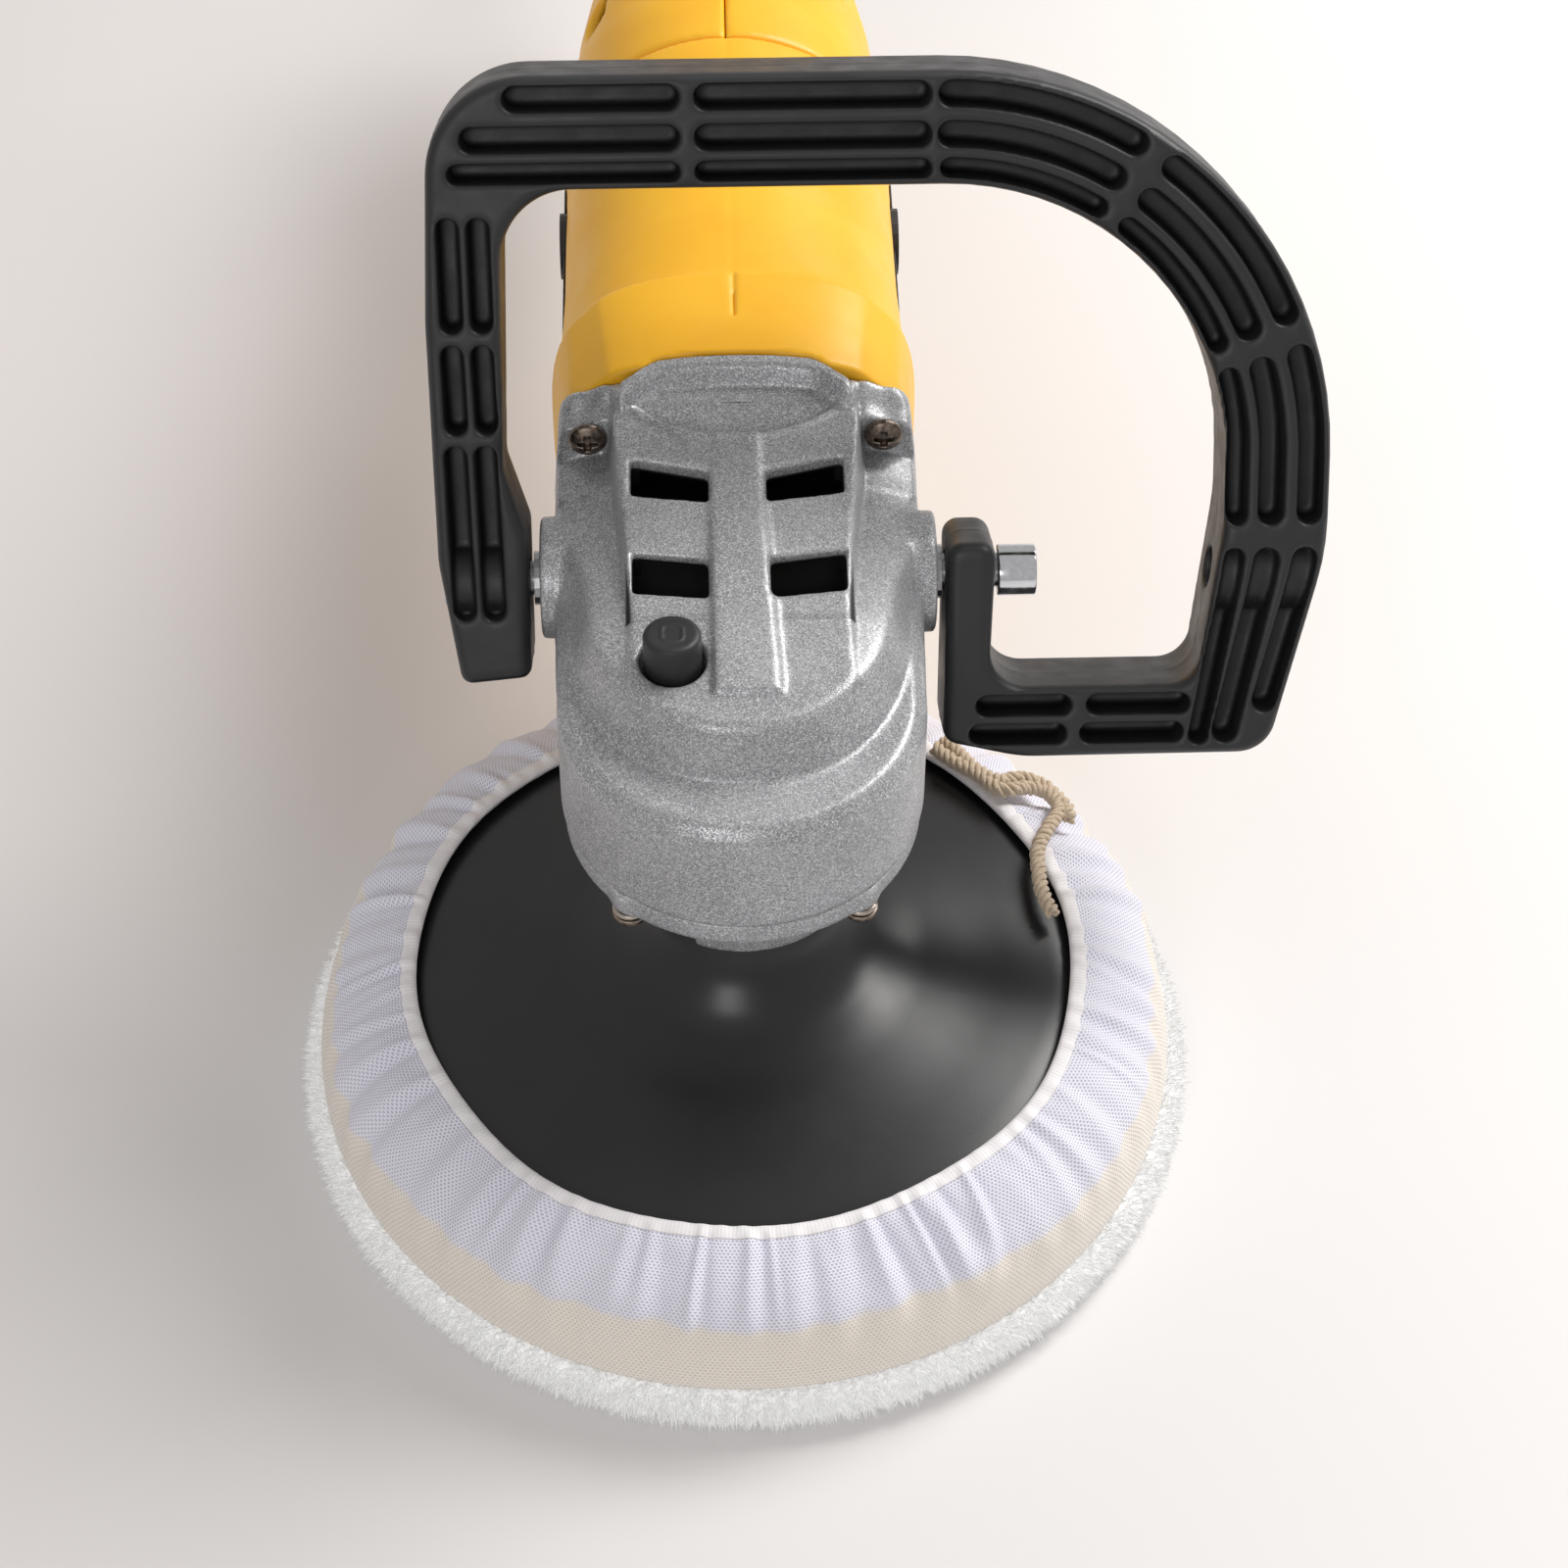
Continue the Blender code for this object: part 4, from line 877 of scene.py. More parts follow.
def bail_outline():
    """The handle's outline, round the outside from the left foot and back along the inside."""
    right = BOW[0] + BOW[2]
    inner_x, inner_y, inner_r = BOW_INSIDE
    inside, under_top = inner_x + inner_r, inner_y + inner_r
    return rounded([
        (-61.6, -21.5, 3), (-66, 6.7, 20), (-66.8, 60, 30), (-64.8, BAIL_TOP, 22),
        (right, BAIL_TOP, BOW[2]), (right - 0.4, 6, 60), (117.5, -40.4, 9), (62, -40.6, 30), (44.4, -36.6, 4),
        (45.5, 9.8, 4), (57, 9.8, 4), (55.5, -23.5, 8), (100.5, -23.5, 7), (inside, 14, 40),
        (inside, under_top, inner_r), (-48.9, under_top, 15), (-50.4, 27, 10), (-45.5, 12, 6),
        (-45.5, -20, 3),
    ])


def bow_path(offset, start, end):
    """A path along the bow, this far in from its outer edge, between two angles in degrees."""
    radius = BOW[2] - offset
    angles = np.radians(np.linspace(start, end, 14))
    return [(BOW[0] + radius * math.cos(a), BOW[1] + radius * math.sin(a)) for a in angles]


def bail_slots():
    """The path and width of each long pocket; a path stops short of the slot's round ends."""
    slots = []
    rows = [(5.15, 5.5, -48.4, -30.3, 1.0), (13.65, 5.5, -57.7, -37.2, 0.85), (20.9, 4.3, -60.5, -37.6, 0.7)]
    for offset, width, left, low, pull in rows:
        u, half = BAIL_TOP - offset, width / 2
        x = BOW[0] + BOW[2] - offset
        slots.append(([(left + half, u), (-11.1 - half, u)], width))
        slots.append(([(-8 + half, u), (42.1 - half, u)], width))
        spread = math.degrees(half / (BOW[2] - offset))
        slots.append(([(44.8 + half, u), *bow_path(offset, 89, 57.7 + spread)], width))
        slots.append((bow_path(offset, 54.3 - spread, 21.5 + spread), width))
        slots.append(([*bow_path(offset, 18 - spread, 0), (x, 12.6 + half)], width))
        leaning = []
        for level in np.linspace(7.4 - half, low + half, 9):
            bend = (13.7 - level) ** 2 / 120 if level > -1.5 else 1.93 + 0.26 * (-1.5 - level)
            leaning.append((x - pull * bend, level))
        slots.append((leaning, width))
    for low_x, high_x in ((-63.7, -58.1), (-57.2, -51.6)):
        x, width = (low_x + high_x) / 2, 4.9
        for low, high in ((57.8, 82.7), (35.5, 55.2), (-6.2, 33.1)):
            slots.append(([(x + 0.01 * (80 - low), low + width / 2), (x, high - width / 2)], width))
    for u, near, far in ((-27.9, (52.1, 73.2), (76.6, 99.6)), (-34.5, (50.6, 72.2), (75.2, 98.2))):
        for low, high in (near, far):
            slots.append(([(low + 2.4, u), (high - 2.4, u)], 4.8))
    return slots


def bail():
    s = Space((-69, -43, -14), (133, 116, 14), 0.62)
    x, u, w = s.x, s.y, s.z
    flat = polygon(x, u, bail_outline())
    deep = np.abs(w)
    inset = 2.2 * (1 - np.sqrt(np.clip(1 - np.clip((deep - 9.6) / 3.4, 0, 1) ** 2, 0, 1))) + 0.025 * deep
    body = both(flat + inset, deep - BAIL_HALF, 0.8)
    body = less(body, both(0.25 - deep, -0.35 - flat), 0.3)
    tube = np.sqrt(np.maximum(TUBE_R**2 - u**2, 0))
    floor = np.where(x < -30, np.maximum(SLOT_FLOOR, tube * ramp(-x, 30, 31)), SLOT_FLOOR)
    floor = np.where(x > 85, np.maximum(SLOT_FLOOR, tube), floor)
    for path, width in bail_slots():
        pocket = track(x, u, path) - width / 2 + 0.03 * (BAIL_HALF - deep)
        body = less(body, both(pocket, floor - deep, 1.2), 1.0)
    for low, high, radius in ((-75, 60, 4.4), (-75, -58.5, 7), (92, 140, 4.6)):
        body = less(body, bar(u, w, x, radius, low, high), 0.7)
    place(skin("bail_grip", body, s, (0, PIVOT_Y, PIVOT_Z), "BAIL"), BAIL, "black_plastic", "loop_handle")


def bolts():
    at = (0, PIVOT_Y, PIVOT_Z)
    tip = 29
    for name, side, seat, end in (("right", 1, 57.4, 66), ("left", -1, 58.8, 65)):
        socket = [(NEAR_AXIS, end - 4), (2.9, end - 4), (2.9, end)]
        head = soften([*socket[1:], (5.75, end), (5.75, seat), (NEAR_AXIS, seat), socket[0]], 0.5)
        thread, x = [], tip + 0.6
        while x < seat - 0.2:
            thread += [(4.0, x), (3.5, x + 0.5)]
            x += 1.0
        shank = [(NEAR_AXIS, tip), (3.4, tip), *thread, (4.0, seat), (NEAR_AXIS, seat)]
        pieces = (("head", head, "chrome", [f"handle_bolt_{name}"]), ("shank", shank[::-1], "steel", []))
        for label, profile, slot, nodes in pieces:
            points = [(r, side * h) for r, h in profile][::side]
            place(lathe(f"bolt_{label}_{name}", points, at, "X", 48), TOOL, slot, *nodes)


# ---------------------------------------------------------------- motor housing and rear handle


def along(y, stations, column):
    """A station table's column at each y."""
    table = np.array(stations, float)
    return np.interp(y, table[:, 0], table[:, column]).astype(np.float32)


def motor_housing():
    s = Space((-46, 79, 68), (46, 205, 156), 0.7)
    x, y, z = s.x, s.y, s.z
    up = z - MOTOR_Z
    collar_at = [(79, 40, 39, 3.6), (90, 41, 39.8, 3.4), (112, 42.9, 40.8, 3.2), (120, 43, 41, 3.0)]
    barrel_at = [(79, 38, 37.6, 3.0), (104, 41.2, 39.8, 2.7), (112, 41.0, 40.0, 2.4), (138, 40.4, 40, 2.1),
                 (186, 40, 40, 2), (210, 39.2, 39.4, 2)]

    def shell(stations, inset=0.0):
        half_x, half_z, power = (along(y, stations, n) for n in (1, 2, 3))
        return squircle(x, up, half_x - inset, half_z - inset, power)

    step = 109 - 4.5 * (np.abs(x) / 38) ** 2
    collar = both(shell(collar_at), np.abs(x) + np.abs(up) - 63.8 - 0.10 * (y - 80), 0.4)
    collar = both(collar, (y - step) * 0.7, 0.5)
    solid = either(collar, shell(barrel_at), 0.8)
    seam = both(np.abs(x) - 0.22, shell(barrel_at, 0.35) * -1)
    solid = less(solid, both(seam, 95 - y), 0.3)
    panel = both(between(y, 116, 183), between(up, -11.5, 11.5), 3)
    solid = less(solid, both(panel, 39.3 - np.abs(x), 0.4), 0.5)
    solid = both(solid, between(y, FLANGE_Y + GAP, BARREL_END), 0.8)
    solid = less(solid, both(shell(barrel_at, 3.4), y - 190.3), 0.5)
    radius = np.hypot(x, up)
    bridge = both(both(radius - 37.9, 11.3 - radius), between(y, 183.5, 190.3), 0.4)
    spigot = both(both(radius - 35.4, 32.5 - radius), between(y, 185, 203), 0.4)
    solid = either(either(solid, bridge, 0.4), spigot, 0.4)
    for side in (-1, 1):
        u = side * x
        for level in (-1, 1):
            v = up - level * SCREW_DZ
            boss = both(bar(u - SCREW_X, v, y, 5.6, 80.6, 108, 0.4), shell(barrel_at))
            solid = either(solid, boss, 0.8)
            solid = less(solid, bar(u - SCREW_X, v, y, 2.5, 70, 104), 0.3)
            solid = less(solid, bar(u - 15.56, up - level * 15.56, y, 8.5, 180, 195), 0.5)
        solid = less(solid, bar(y - BRUSH_Y, up, u, 8.4, 30, 60), 0.6)
    notch = both(both(np.abs(x) - 26.2, 147.2 - z), y - lip_back(x) - 0.4)
    solid = less(solid, notch, 0.4)
    place(skin("motor_barrel", solid, s), TOOL, "yellow_plastic", "motor_housing")


def side_panels():
    """The dark strip let into each side of the barrel, round its brush cap."""
    for side, name in ((-1, "left"), (1, "right")):
        low_x, high_x = sorted((side * 38, side * 42))
        s = Space((low_x, 116, -12), (high_x, 184, 12), 0.5)
        u, y, z = side * s.x, s.y, s.z
        strip = both(between(y, 117, 182), between(z, -10.6, 10.6), 3)
        strip = both(both(strip, np.hypot(u, z) - 40.25, 0.6), 39.5 - u, 0.2)
        strip = less(strip, both(np.hypot(y - BRUSH_Y, z) - 8.4, 30 - u), 0.3)
        groove = both(np.abs(np.mod(y - 118, 4.0) - 2.0) - 0.45, 39.95 - u, 0.2)
        strip = less(strip, groove + 0.4 * ramp(y, 148, 152), 0.3)
        made = skin(f"side_panel_{name}", strip, s, (0, 0, MOTOR_Z), smooth=1)
        place(made, TOOL, "black_plastic")


HANDLE_STATIONS = [  # y, half width, middle height, half height, squareness
    (190, 39.6, 112, 39.6, 2), (196, 39.6, 112, 39.6, 2), (214, 38.9, 112, 38.9, 2),
    (234, 37, 111.5, 36, 2.1), (251, 34.4, 111, 31.5, 2.2), (268, 30, 110.5, 28, 2.3),
    (290, 25.5, 110, 25.5, 2.4), (320, 23.5, 109, 24.5, 2.4), (350, 23.5, 107.5, 24.5, 2.4),
    (372, 24.5, 106, 25.5, 2.4), (390, 24, 106, 25, 2.4),
]


def rear_handle():
    s = Space((-43, 194, 69), (43, 387, 155), 0.9)
    x, y, z = s.x, s.y, s.z
    half_x, centre, half_z, power = (along(y, HANDLE_STATIONS, n) for n in (1, 2, 3, 4))
    up = z - centre
    outer = squircle(x, up, half_x, half_z, power)
    grip = both(both(between(y, 288, 362), np.abs(up) - 15, 4), 20 - np.abs(x), 1)
    ribs = np.maximum(np.cos(y * 2 * math.pi / 4.5), 0) * 0.7
    outer = outer + np.where(grip < 0, ribs * np.clip(-grip / 2, 0, 1), 0)
    solid = both(outer, between(y, BARREL_END + GAP, HANDLE_END), 2.2)
    wall = np.where(y < 205, 3.6, WALL)
    room = squircle(x, up, half_x - wall, half_z - wall, power)
    solid = less(solid, both(room, y - HANDLE_END + WALL, 1), 0.6)
    solid = less(solid, bar(x, z - CORD_Z, y, 8.7, 370, 400), 0.5)
    solid = less(solid, brick(x, y, z, (-9.8, 266, 50), (9.8, 341.5, 96), 1.2), 0.8)
    solid = less(solid, brick(x, y, z, (-5.2, 330, 124), (5.2, 366, 145), 1.2), 0.8)
    groove = both(squircle(x, up, half_x - 0.35, half_z - 0.35, power) * -1, np.abs(x) - 0.45, 0.2)
    solid = less(solid, groove, 0.3)
    for name, side in (("left", -1), ("right", 1)):
        half = both(solid, 0.06 - side * x, 0.1)
        for cy, cz, reach in SHELL_SCREWS:
            half = either(half, bar(y - cy, z - cz, side * x, 5, 0.15, reach, 0.4), 0.6)
        for cy, cz, reach in SHELL_SCREWS:
            half = less(half, bar(y - cy, z - cz, x, 2.4, -60, 16), 0.3)
            if side < 0:
                half = less(half, bar((y - cy) * 0.8, z - cz, x, 4.6, -60, 3.8 - reach), 0.8)
        if side < 0:
            half = less(half, bar(y - LOCK_ON[0], z - LOCK_ON[1], x, 5.0, -40, -10), 0.6)
        place(skin(f"handle_shell_{name}", half, s), TOOL, "yellow_plastic", f"rear_handle_{name}")


def shell_screws():
    s = Space((-4.4, -4.4, -0.4), (4.4, 4.4, 3), 0.16)
    depth = 2.4
    shape = cross_head(s, 3.8, 0.0, depth, 1.0)
    for number, (y, z, reach) in enumerate(SHELL_SCREWS, 1):
        seat = 3.5 - reach
        head = skin(f"handle_screw_head_{number}", shape, s, (seat - depth, y, z), "X")
        place(head, TOOL, "bronzed_steel", f"handle_screw_{number}")
        side = soften([(NEAR_AXIS, seat), (2, seat), (2, 14), (NEAR_AXIS, 14)], 0.3)
        place(lathe(f"handle_screw_shank_{number}", side, (0, y, z), "X", 24), TOOL, "bronzed_steel")


def trigger():
    s = Space((-10, 264, 68), (10, 342, 98), 0.5)
    x, y, z = s.x, s.y, s.z
    side = rounded([
        (268, 78, 3), (280, 73, 8), (300, 71.5, 30), (330, 72, 12), (339.5, 76, 3), (339.5, 84, 2),
        (290, 92, 6), (277, 94.5, 3), (268, 93, 3),
    ])
    lever = both(polygon(y, z, side), np.abs(x) - 9.3, 2.4)
    grooves = np.abs(np.mod(y - 288, 6.0) - 3.0) - 0.8
    lever = less(lever, both(both(grooves, z - 72.6), between(y, 288, 324)), 0.6)
    lever = less(lever, bar(y - TRIGGER_PIVOT[0], z - TRIGGER_PIVOT[1], x, 1.9, -12, 12), 0.3)
    place(skin("trigger_lever", lever, s), "trigger_body", "black_plastic", "trigger")


def dial_and_knob():
    s = Space((-16.5, -16.5, -5), (16.5, 16.5, 5), 0.4)
    radius, angle = np.hypot(s.x, s.y), np.arctan2(s.y, s.x)
    wheel = both(radius - 15.2 - 0.35 * np.cos(36 * angle), np.abs(s.z) - 4.5, 1.0)
    wheel = less(wheel, bar(s.x, s.y, s.z, 2.2, -9, 9), 0.4)
    wheel = skin("dial_wheel", wheel, s, (0, DIAL_Y, DIAL_Z), "X")
    place(wheel, "dial_body", "black_plastic", "speed_dial")
    s = Space((-5.5, -5.5, -29), (5.5, 5.5, -13), 0.3)
    knob = bar(s.x, s.y, s.z, 4.7, -28, -13.5, 1.6)
    knob = less(knob, both(np.hypot(s.x, s.y) - 2.6, s.z + 27.4, 0.5), 0.5)
    knob = skin("lock_on_knob", knob, s, (0, *LOCK_ON), "X")
    place(knob, "lock_on_body", "black_plastic", "lock_on_button")


def cord_parts():
    guard = [(3.9, 378), (11, 378), (11, 381.5), (8.3, 381.5), (8.3, 386)]
    for k in range(11):
        y = 387 + 4.1 * k
        r = 8.2 - 0.235 * k
        guard += [(r, y), (r, y + 2.2), (r - 1.1, y + 2.5), (r - 1.1, y + 3.6)]
    guard += [(5.6, 433), (5.4, 434), (3.9, 434)]
    guard = lathe("guard_sleeve", soften(guard, 0.35, 2)[::-1], (0, 0, CORD_Z), "Y", 48)
    place(guard, TOOL, "cord_rubber", "cord_guard")
    bends = [
        (0, 436, 106), (0, 452, 102), (0, 464, 86), (0, 466, 60), (0, 462, 30), (4, 452, 10),
        (18, 442, 4.2), (38, 440, 4.2), (56, 448, 5.5), (68, 452, 7.3),
    ]
    path = np.vstack([[(0, 366, CORD_Z), (0, 400, CORD_Z)], smooth_path(bends, 8), [(79.0, 452, 7.3)]])
    place(from_arrays("cord", *sweep(path, 3.6, 20)), TOOL, "cord_rubber", "power_cord")


def plug():
    s = Space((79, 430, -0.5), (134, 474, 15.5), 0.5)
    x, y, z = s.x, s.y - 452, s.z
    half = 17 - 4 * ramp(x, 84, 112)
    body = both(both(np.abs(y) - half, between(x, 80, 112), 6), between(z, 0.6, 14), 3)
    groove = both(np.abs(np.mod(x - 80, 4) - 2) - 0.6, np.abs(y) - 30)
    body = less(body, both(groove, half - 0.8 - np.abs(y)), 0.5)
    for pin in (-9.5, 9.5):
        body = either(body, bar(y - pin, z - 7.3, x, 2, 108, 131, 1.2), 0.3)
    place(skin("plug_body", body, s), TOOL, "cord_rubber", "plug")


# ---------------------------------------------------------------- plate, foam and bonnet


def pad():
    disc = [
        (7.3, 50), (7.3, HUB_TOP), (16, HUB_TOP), (17, 66), (20, 58), (27, 50.5), (38, 45.5), (55, 41.5),
        (75, 38), (91.5, 30.2), (91.5, 27.5), (86, 27.5), (72, 33), (40, 38), (16, 41), (NEAR_AXIS, 41),
        (NEAR_AXIS, 50),
    ]
    disc = lathe("plate_disc", soften(disc, 5.0, 6)[::-1], sides=192)
    place(disc, SPINDLE, "plate_plastic", "backing_plate")
    foam = soften([(NEAR_AXIS, 13), (NEAR_AXIS, 27.2), (93.4, 27.2), (95.3, 13)], 1.2)
    place(lathe("foam_layer", foam[::-1], sides=192), SPINDLE, "foam", "foam_pad")


def wander(angles, waves, seed):
    """A smooth, repeating random curve round a turn, made of the given range of wave numbers."""
    rng = np.random.default_rng(seed)
    total = np.zeros_like(angles)
    for n in range(*waves):
        total += rng.normal() * np.cos(n * angles + rng.uniform(0, 2 * math.pi))
    return total / math.sqrt((waves[1] - waves[0]) / 2)


def round_turn(radius, height, angles):
    """Points at each angle round the spindle's axis."""
    return np.stack([radius * np.cos(angles), radius * np.sin(angles), height], -1)


def skirt_profile():
    """The skirt's side view from the hem down, its outward directions and the share of its length."""
    corners = [
        (75.2, 39.2, 0), (75.0, 40.3, 0), (75.9, 41.0, 0), (77.4, 41.0, 0), (79.0, 40.5, 0), (82, 39.5, 0),
        (86.5, 37.3, 0), (91, 34.2, 0), (94.6, 30.6, 0), (96.8, 26, 0), (98.1, 20.5, 0), (98.9, 15.5, 0),
        (98.7, 12.6, 0),
    ]
    path = smooth_path(corners, 6)[:, :2]
    slope = unit(np.gradient(path, axis=0))
    length = run_length(path)
    return path, np.stack([-slope[:, 1], slope[:, 0]], 1), length / length[-1]


def creases():
    """Where the skirt gathers: the angle, depth, width and lean of each crease."""
    rng = np.random.default_rng(7)
    found, angle = [], 0.0
    while angle < 2 * math.pi:
        found.append((angle, rng.uniform(0.5, 1.5), rng.uniform(0.007, 0.02), rng.normal() * 0.05))
        angle += rng.uniform(0.045, 0.16)
    return found


def skirt_lift(angles, share):
    """How far the cloth stands off its profile, in rows down the profile and columns round it."""
    lift = np.zeros((len(share), len(angles)))
    for start, depth, width, lean in creases():
        turn = (angles - start - lean * share + math.pi) % (2 * math.pi) - math.pi
        spread = width * (1 + 1.6 * share)
        fade = ramp(share, 0.02, 0.16) * (1 - ramp(share, 0.35, 0.72 + 0.1 * depth))
        fold = np.exp(-((turn / spread) ** 2)) - 0.6 * np.exp(-(((turn - 2 * spread) / spread) ** 2))
        lift += depth * fade * fold
    swell = 0.5 * wander(angles, (3, 12), 3) + 0.35 * wander(angles, (30, 70), 4)
    lift += ramp(share, 0.1, 0.3) * (1 - ramp(share, 0.6, 0.95)) * swell
    return lift + 0.12 * wander(angles, (60, 120), 9) * (1 - ramp(share, 0.0, 0.2))


def bonnet():
    """The skirt and its hem, each a closed double wall."""
    sides = 900
    angles = np.arange(sides) * 2 * math.pi / sides
    path, out, reach = skirt_profile()
    share = reach[:, None]
    lift = skirt_lift(angles, share)
    wobble = 0.4 * wander(angles, (2, 9), 12) * (1 - ramp(share, 0.2, 0.9))
    radius = path[:, :1] + lift * np.maximum(out[:, :1], 0.0) + wobble
    height = path[:, 1:] + lift * out[:, 1:]
    thick = np.where(share < 0.16, 0.6, 0.45)
    outer = round_turn(radius, height, angles)
    inner = round_turn(radius - thick * out[:, :1], height - thick * out[:, 1:], angles)
    hem_rows = int(np.searchsorted(reach, 0.115))
    hem_lift = (0, 0, 0.12)
    for name, rows, finish, raised, nodes in (
        ("bonnet_hem", slice(0, hem_rows + 1), "hem", hem_lift, []),
        ("bonnet_skirt", slice(hem_rows, None), "bonnet_cloth", (0, 0, 0), ["bonnet"]),
    ):
        loops = np.concatenate([outer[rows] + raised, inner[rows][::-1]])
        faces = grid_faces(len(loops), sides, wrap_rows=True)
        place_cloth(from_arrays(name, loops.reshape(-1, 3), faces), finish, *nodes)


def place_cloth(obj, finish, *nodes):
    """As place does, for a piece of the bonnet whose finish isn't its slot's own."""
    obj.data.materials.append(FINISHES[finish])
    if nodes:
        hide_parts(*nodes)
    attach(obj, SPINDLE)


def plush():
    """The padded disc under the foam, with a shaggy edge."""
    sides = 720
    angles = np.arange(sides) * 2 * math.pi / sides
    profile = [
        (NEAR_AXIS, 12.6), (97.6, 12.6), (99.9, 10.5), (101.0, 6), (99.4, 1.4), (95, 0.6), (NEAR_AXIS, 0.6),
    ]
    rows = []
    for number, (r, h) in enumerate(soften(profile, 2.5, 5)):
        fine, broad = wander(angles, (90, 200), 40 + number), wander(angles, (10, 60), 3)
        shaggy = ramp(r, 60, 96) * (0.5 * fine + 0.3 * broad)
        rows.append(round_turn(r + (0.6 * shaggy if r > 90 else 0), h + 0.12 * shaggy, angles))
    faces = grid_faces(len(rows), sides, wrap_rows=True)[:, ::-1]
    place_cloth(from_arrays("bonnet_plush", np.array(rows).reshape(-1, 3), faces), "plush")


def tufts():
    """Bent three-sided spikes of pile, all round the plush's edge."""
    rng = np.random.default_rng(21)
    count = 26000
    turn = rng.uniform(0, 2 * math.pi, count)
    tilt = rng.uniform(-0.75, 1.25, count)  # 0 points straight out, positive up
    root_r = 97.0 + 3.0 * np.cos(tilt) + rng.uniform(-0.6, 0.3, count)
    root = np.stack([root_r, np.zeros(count), 6.2 + 5.2 * np.sin(tilt)], 1)
    sideways = wander(turn, (80, 200), 5) * 0.12 + rng.normal(0, 0.22, count)
    upward = np.sin(tilt) * 0.8 + rng.normal(0, 0.16, count)
    way = unit(np.stack([np.cos(tilt), sideways, upward], 1))
    length = rng.uniform(2.6, 5.0, count) * (1 - 0.35 * np.abs(np.sin(tilt)))
    sag = rng.normal(0, 0.5, (count, 3)) + (0, 0, -0.5)
    thick = rng.uniform(0.2, 0.38, count)
    across = unit(np.cross(way, (0, 0, 1.0)))
    over = np.cross(way, across)
    rings = []
    for share, width in ((-0.25, 1.0), (0.5, 0.8), (1.0, 0.06)):
        centre = root + way * (length * share)[:, None] + sag * max(share, 0) ** 2
        centre[:, 2] = np.maximum(centre[:, 2], 0.35)
        for corner in range(3):
            a = corner * 2 * math.pi / 3
            aside = across * math.cos(a) + over * math.sin(a)
            rings.append(centre + aside * (thick * width)[:, None])
    x, y, z = np.moveaxis(np.stack(rings, 1), -1, 0)
    cos, sin = np.cos(turn)[:, None], np.sin(turn)[:, None]
    points = np.stack([x * cos - y * sin, x * sin + y * cos, z], -1)
    faces = grid_faces(3, 3)[None] + len(rings) * np.arange(count)[:, None, None]
    place_cloth(from_arrays("bonnet_tufts", points.reshape(-1, 3), faces.reshape(-1, 4)), "plush")


def drawstring():
    """Two tails side by side, each of three strands of two plies."""
    ends = [
        (47.3, 61.2, 43.6), (55, 54, 43.6), (61.7, 47.5, 43.6), (67.5, 49.5, 42.4), (73, 48.5, 41.2),
        (76, 42, 41.2), (73.5, 35, 42.6), (69.5, 27, 43.4), (70.3, 18, 43.4), (72.2, 9, 43.0),
    ]
    spine = smooth_path(ends, 26)
    first, second = path_frames(spine)
    length = run_length(spine)
    lateral = unit(np.cross(np.gradient(spine, axis=0), (0, 0, 1.0)))

    def twist(turn, radius):
        return first * (radius * np.cos(turn))[:, None] + second * (radius * np.sin(turn))[:, None]

    parts = []
    for tail, (stop, shift) in enumerate(((1.0, 1.0), (0.6, -1.8))):
        last = int(len(spine) * stop)
        aside = lateral * (shift * (0.75 + 0.5 * np.sin(length * 0.3 + tail)))[:, None]
        for strand in range(3):
            strand_turn = 2 * math.pi * (length / 5.5 + strand / 3) + tail * 1.1
            for ply in range(2):
                path = spine + aside + twist(strand_turn, 0.98) + twist(length * 2.6 + ply * math.pi, 0.34)
                parts.append(sweep(path[:last], 0.64, 7))
    place(from_arrays("drawstring_cord", *merge(parts)), SPINDLE, "cotton", "drawstring")


# ---------------------------------------------------------------- building it, floor, light and camera


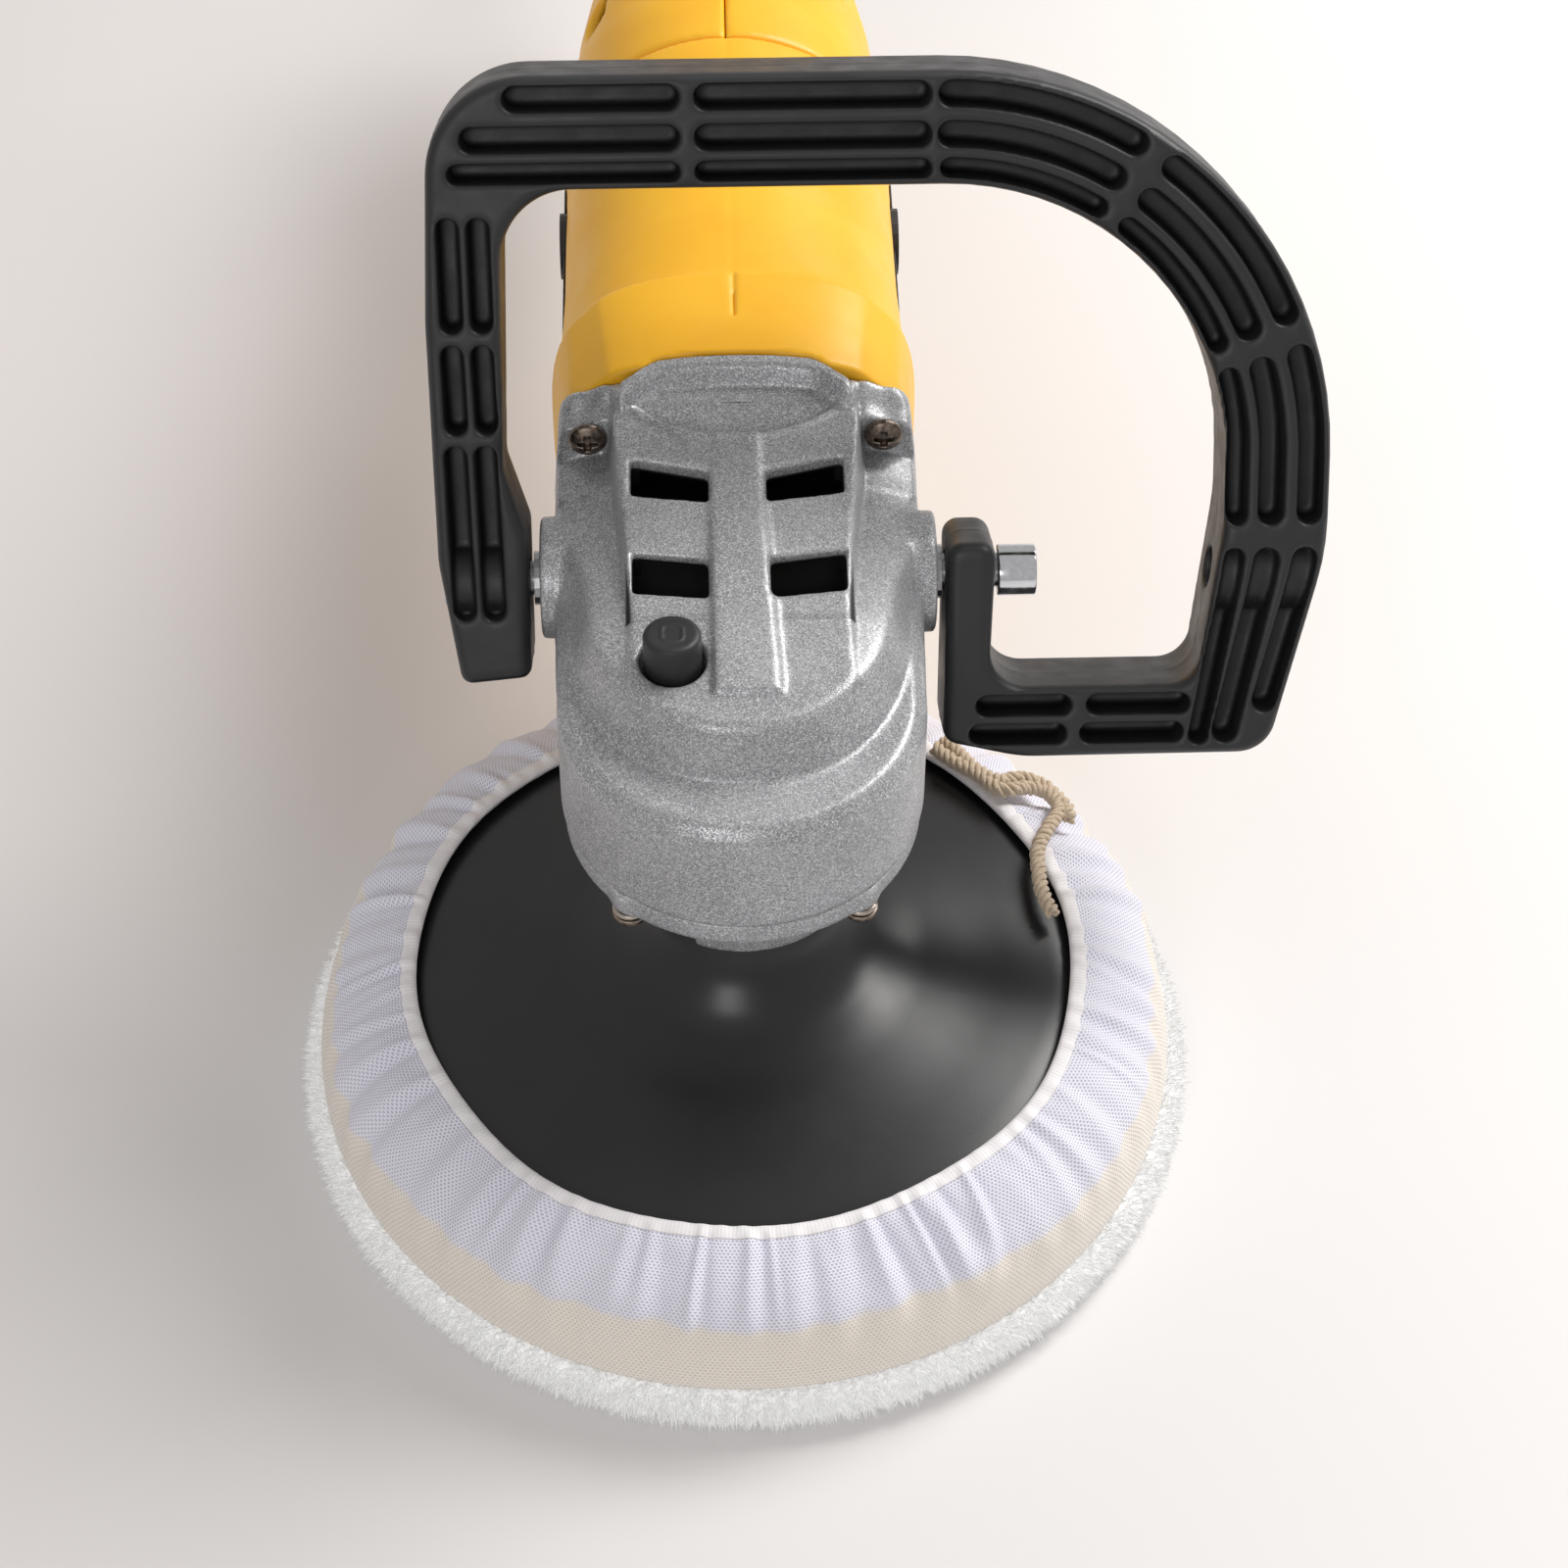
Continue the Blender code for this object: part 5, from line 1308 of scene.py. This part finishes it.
def stage():
    mesh = bpy.data.meshes.new("floor")
    reach = 30
    corners = [(-reach, -reach, 0), (reach, -reach, 0), (reach, reach, 0), (-reach, reach, 0)]
    mesh.from_pydata(corners, [], [(0, 1, 2, 3)])
    floor = bpy.data.objects.new("floor", mesh)
    bpy.context.scene.collection.objects.link(floor)
    f = Finish("floor", 0.6, 0.0)
    # Darker to the left of the tool and paler to the right: painted shade and light across the floor.
    f.tones(f.span(f.axes()[0], -420, 260), (214, 208, 207), (232, 231, 231))
    f.bump(f.noise(0.4, 2), 0.01)
    floor.data.materials.append(f.material)

    for name, at, aim, size, power, colour in (
        ("key", (1.0, 0.75, 1.25), (0, 0.05, 0.1), 0.8, 26, (1.0, 0.985, 0.965)),
        ("front", (-0.35, -1.25, 0.95), (0, 0, 0.05), 0.5, 4, (1.0, 0.99, 0.98)),
    ):
        light = bpy.data.lights.new(name, "AREA")
        light.size, light.energy, light.color = size, power, colour
        lamp = bpy.data.objects.new(name, light)
        bpy.context.scene.collection.objects.link(lamp)
        lamp.location = at
        lamp.rotation_euler = (Vector(aim) - Vector(at)).to_track_quat("-Z", "Y").to_euler()
    bpy.context.scene.view_settings.view_transform = "Standard"
    world = bpy.data.worlds.new("studio")
    bpy.context.scene.world = world
    world.use_nodes = True
    world.node_tree.nodes["Background"].inputs["Color"].default_value = (1, 0.985, 0.97, 1)
    world.node_tree.nodes["Background"].inputs["Strength"].default_value = 0.5


def camera():
    tilt, yaw, roll = math.radians(48.811), math.radians(1.693), math.radians(0.2344)
    forward = Vector((math.sin(yaw) * math.cos(tilt), math.cos(yaw) * math.cos(tilt), -math.sin(tilt)))
    level = Vector((math.cos(yaw), -math.sin(yaw), 0))
    rise = level.cross(forward)
    right = math.cos(roll) * level + math.sin(roll) * rise
    up = -math.sin(roll) * level + math.cos(roll) * rise
    lens = bpy.data.cameras.new("camera")
    lens.sensor_width, lens.lens = 36, 90
    eye = bpy.data.objects.new("camera", lens)
    bpy.context.scene.collection.objects.link(eye)
    turn = Matrix((right, up, -forward)).transposed().to_4x4()
    eye.matrix_world = Matrix.Translation(Vector((-7.62, -563.13, 744.26)) * MM) @ turn
    bpy.context.scene.camera = eye


gear_housing()
retainer()
housing_screws()
lock_button()
bail()
bolts()
motor_housing()
side_panels()
rear_handle()
shell_screws()
trigger()
dial_and_knob()
cord_parts()
plug()
pad()
bonnet()
plush()
tufts()
drawstring()
stage()
camera()
